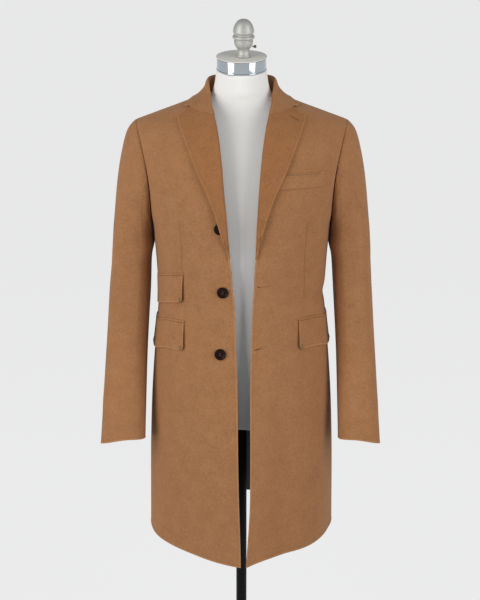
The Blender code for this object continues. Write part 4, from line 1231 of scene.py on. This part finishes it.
chrome = finish("chrome", {"Base Color": (0.43, 0.475, 0.51, 1.0), "Metallic": 1.0}, chrome_links)
lacquer = finish("cream_lacquer", {"Metallic": 0.05}, lacquer_links)
pewter = finish("pewter", {"Metallic": 0.5}, pewter_links)
brass = finish("dark_brass", {"Metallic": 1.0}, brass_links)


def rounded_profile(profile, spacing):
    """A closer profile, smooth through the same points."""
    points = np.array(profile)
    way = np.concatenate([[0.0], np.cumsum(np.linalg.norm(np.diff(points, axis=0), axis=1))])
    at = np.linspace(0.0, way[-1], int(way[-1] / spacing))
    fine = spline_weights(way, at) @ points
    fine[[0, -1], 0] = 0.0
    return np.maximum(fine, (0.0, points[0][1]))


def neck_fittings():
    neck = Matrix.Translation(NECK_TOP) @ Matrix.Rotation(math.radians(NECK_TILT), 4, "X")
    crown = neck @ Matrix.Translation(FINIAL_OFF)
    screw = crown @ Matrix.Translation(SCREW_SEAT) @ Matrix.Rotation(math.radians(90.0), 4, "Y")
    for node, profile, place, material, slot in (
        ("neck_band", BAND_PROFILE, neck, chrome, "chrome"),
        ("neck_cap", CAP_PROFILE, neck, lacquer, "cream_lacquer"),
        ("finial", rounded_profile(FINIAL_PROFILE, FINIAL_SPACING), crown, pewter, "pewter"),
        ("finial_screw", SCREW_PROFILE, screw, brass, "dark_brass"),
    ):
        mesh = bmesh.new()
        turned(mesh, profile, FITTING_SEGMENTS, place)
        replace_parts(finished(f"{node}_bright", mesh, material), node)


neck_fittings()


# Stand: a plain steel pole that goes up into the form and a heavy round foot, both enamelled black.
# The foot is a flat turned plate with a rolled edge.
POLE_RADIUS = 0.012
POLE_RUN = (0.0123, 0.7647)
BASE_RADIUS = 0.190
BASE_HEIGHT = 0.012
BASE_EDGE = 0.004
BASE_STEPS = 6
STAND_SEGMENTS = 96


def enamel_links(start):
    peel = start.noise(700.0, detail=2.0, roughness=0.5)
    dust = start.noise(40.0, detail=4.0, roughness=0.6)
    colour = start.blend(dust, (0.003, 0.003, 0.003, 1.0), (0.006, 0.006, 0.006, 1.0))
    relief = start.bump(peel, distance=0.0001, strength=0.25)
    return {"Base Color": colour, "Roughness": 0.32 + dust * 0.2, "Normal": relief}


enamel = finish("black_enamel", {"Specular IOR Level": 0.1}, enamel_links)


def stand():
    foot, top = POLE_RUN
    pole = ((0.0, foot), (POLE_RADIUS, foot), (POLE_RADIUS, top), (0.0, top))
    base = [(0.0, 0.0), (BASE_RADIUS - BASE_EDGE / 2, 0.0), (BASE_RADIUS, BASE_EDGE / 2)]
    for step in range(BASE_STEPS + 1):
        turn = math.pi / 2.0 * step / BASE_STEPS
        base.append((
            BASE_RADIUS - BASE_EDGE + BASE_EDGE * math.cos(turn),
            BASE_HEIGHT - BASE_EDGE + BASE_EDGE * math.sin(turn),
        ))
    base.append((0.0, BASE_HEIGHT))
    for node, profile in (("pole", pole), ("base", base)):
        mesh = bmesh.new()
        turned(mesh, profile, STAND_SEGMENTS, Matrix.Identity(4))
        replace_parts(finished(f"{node}_enamel", mesh, enamel), node)


stand()
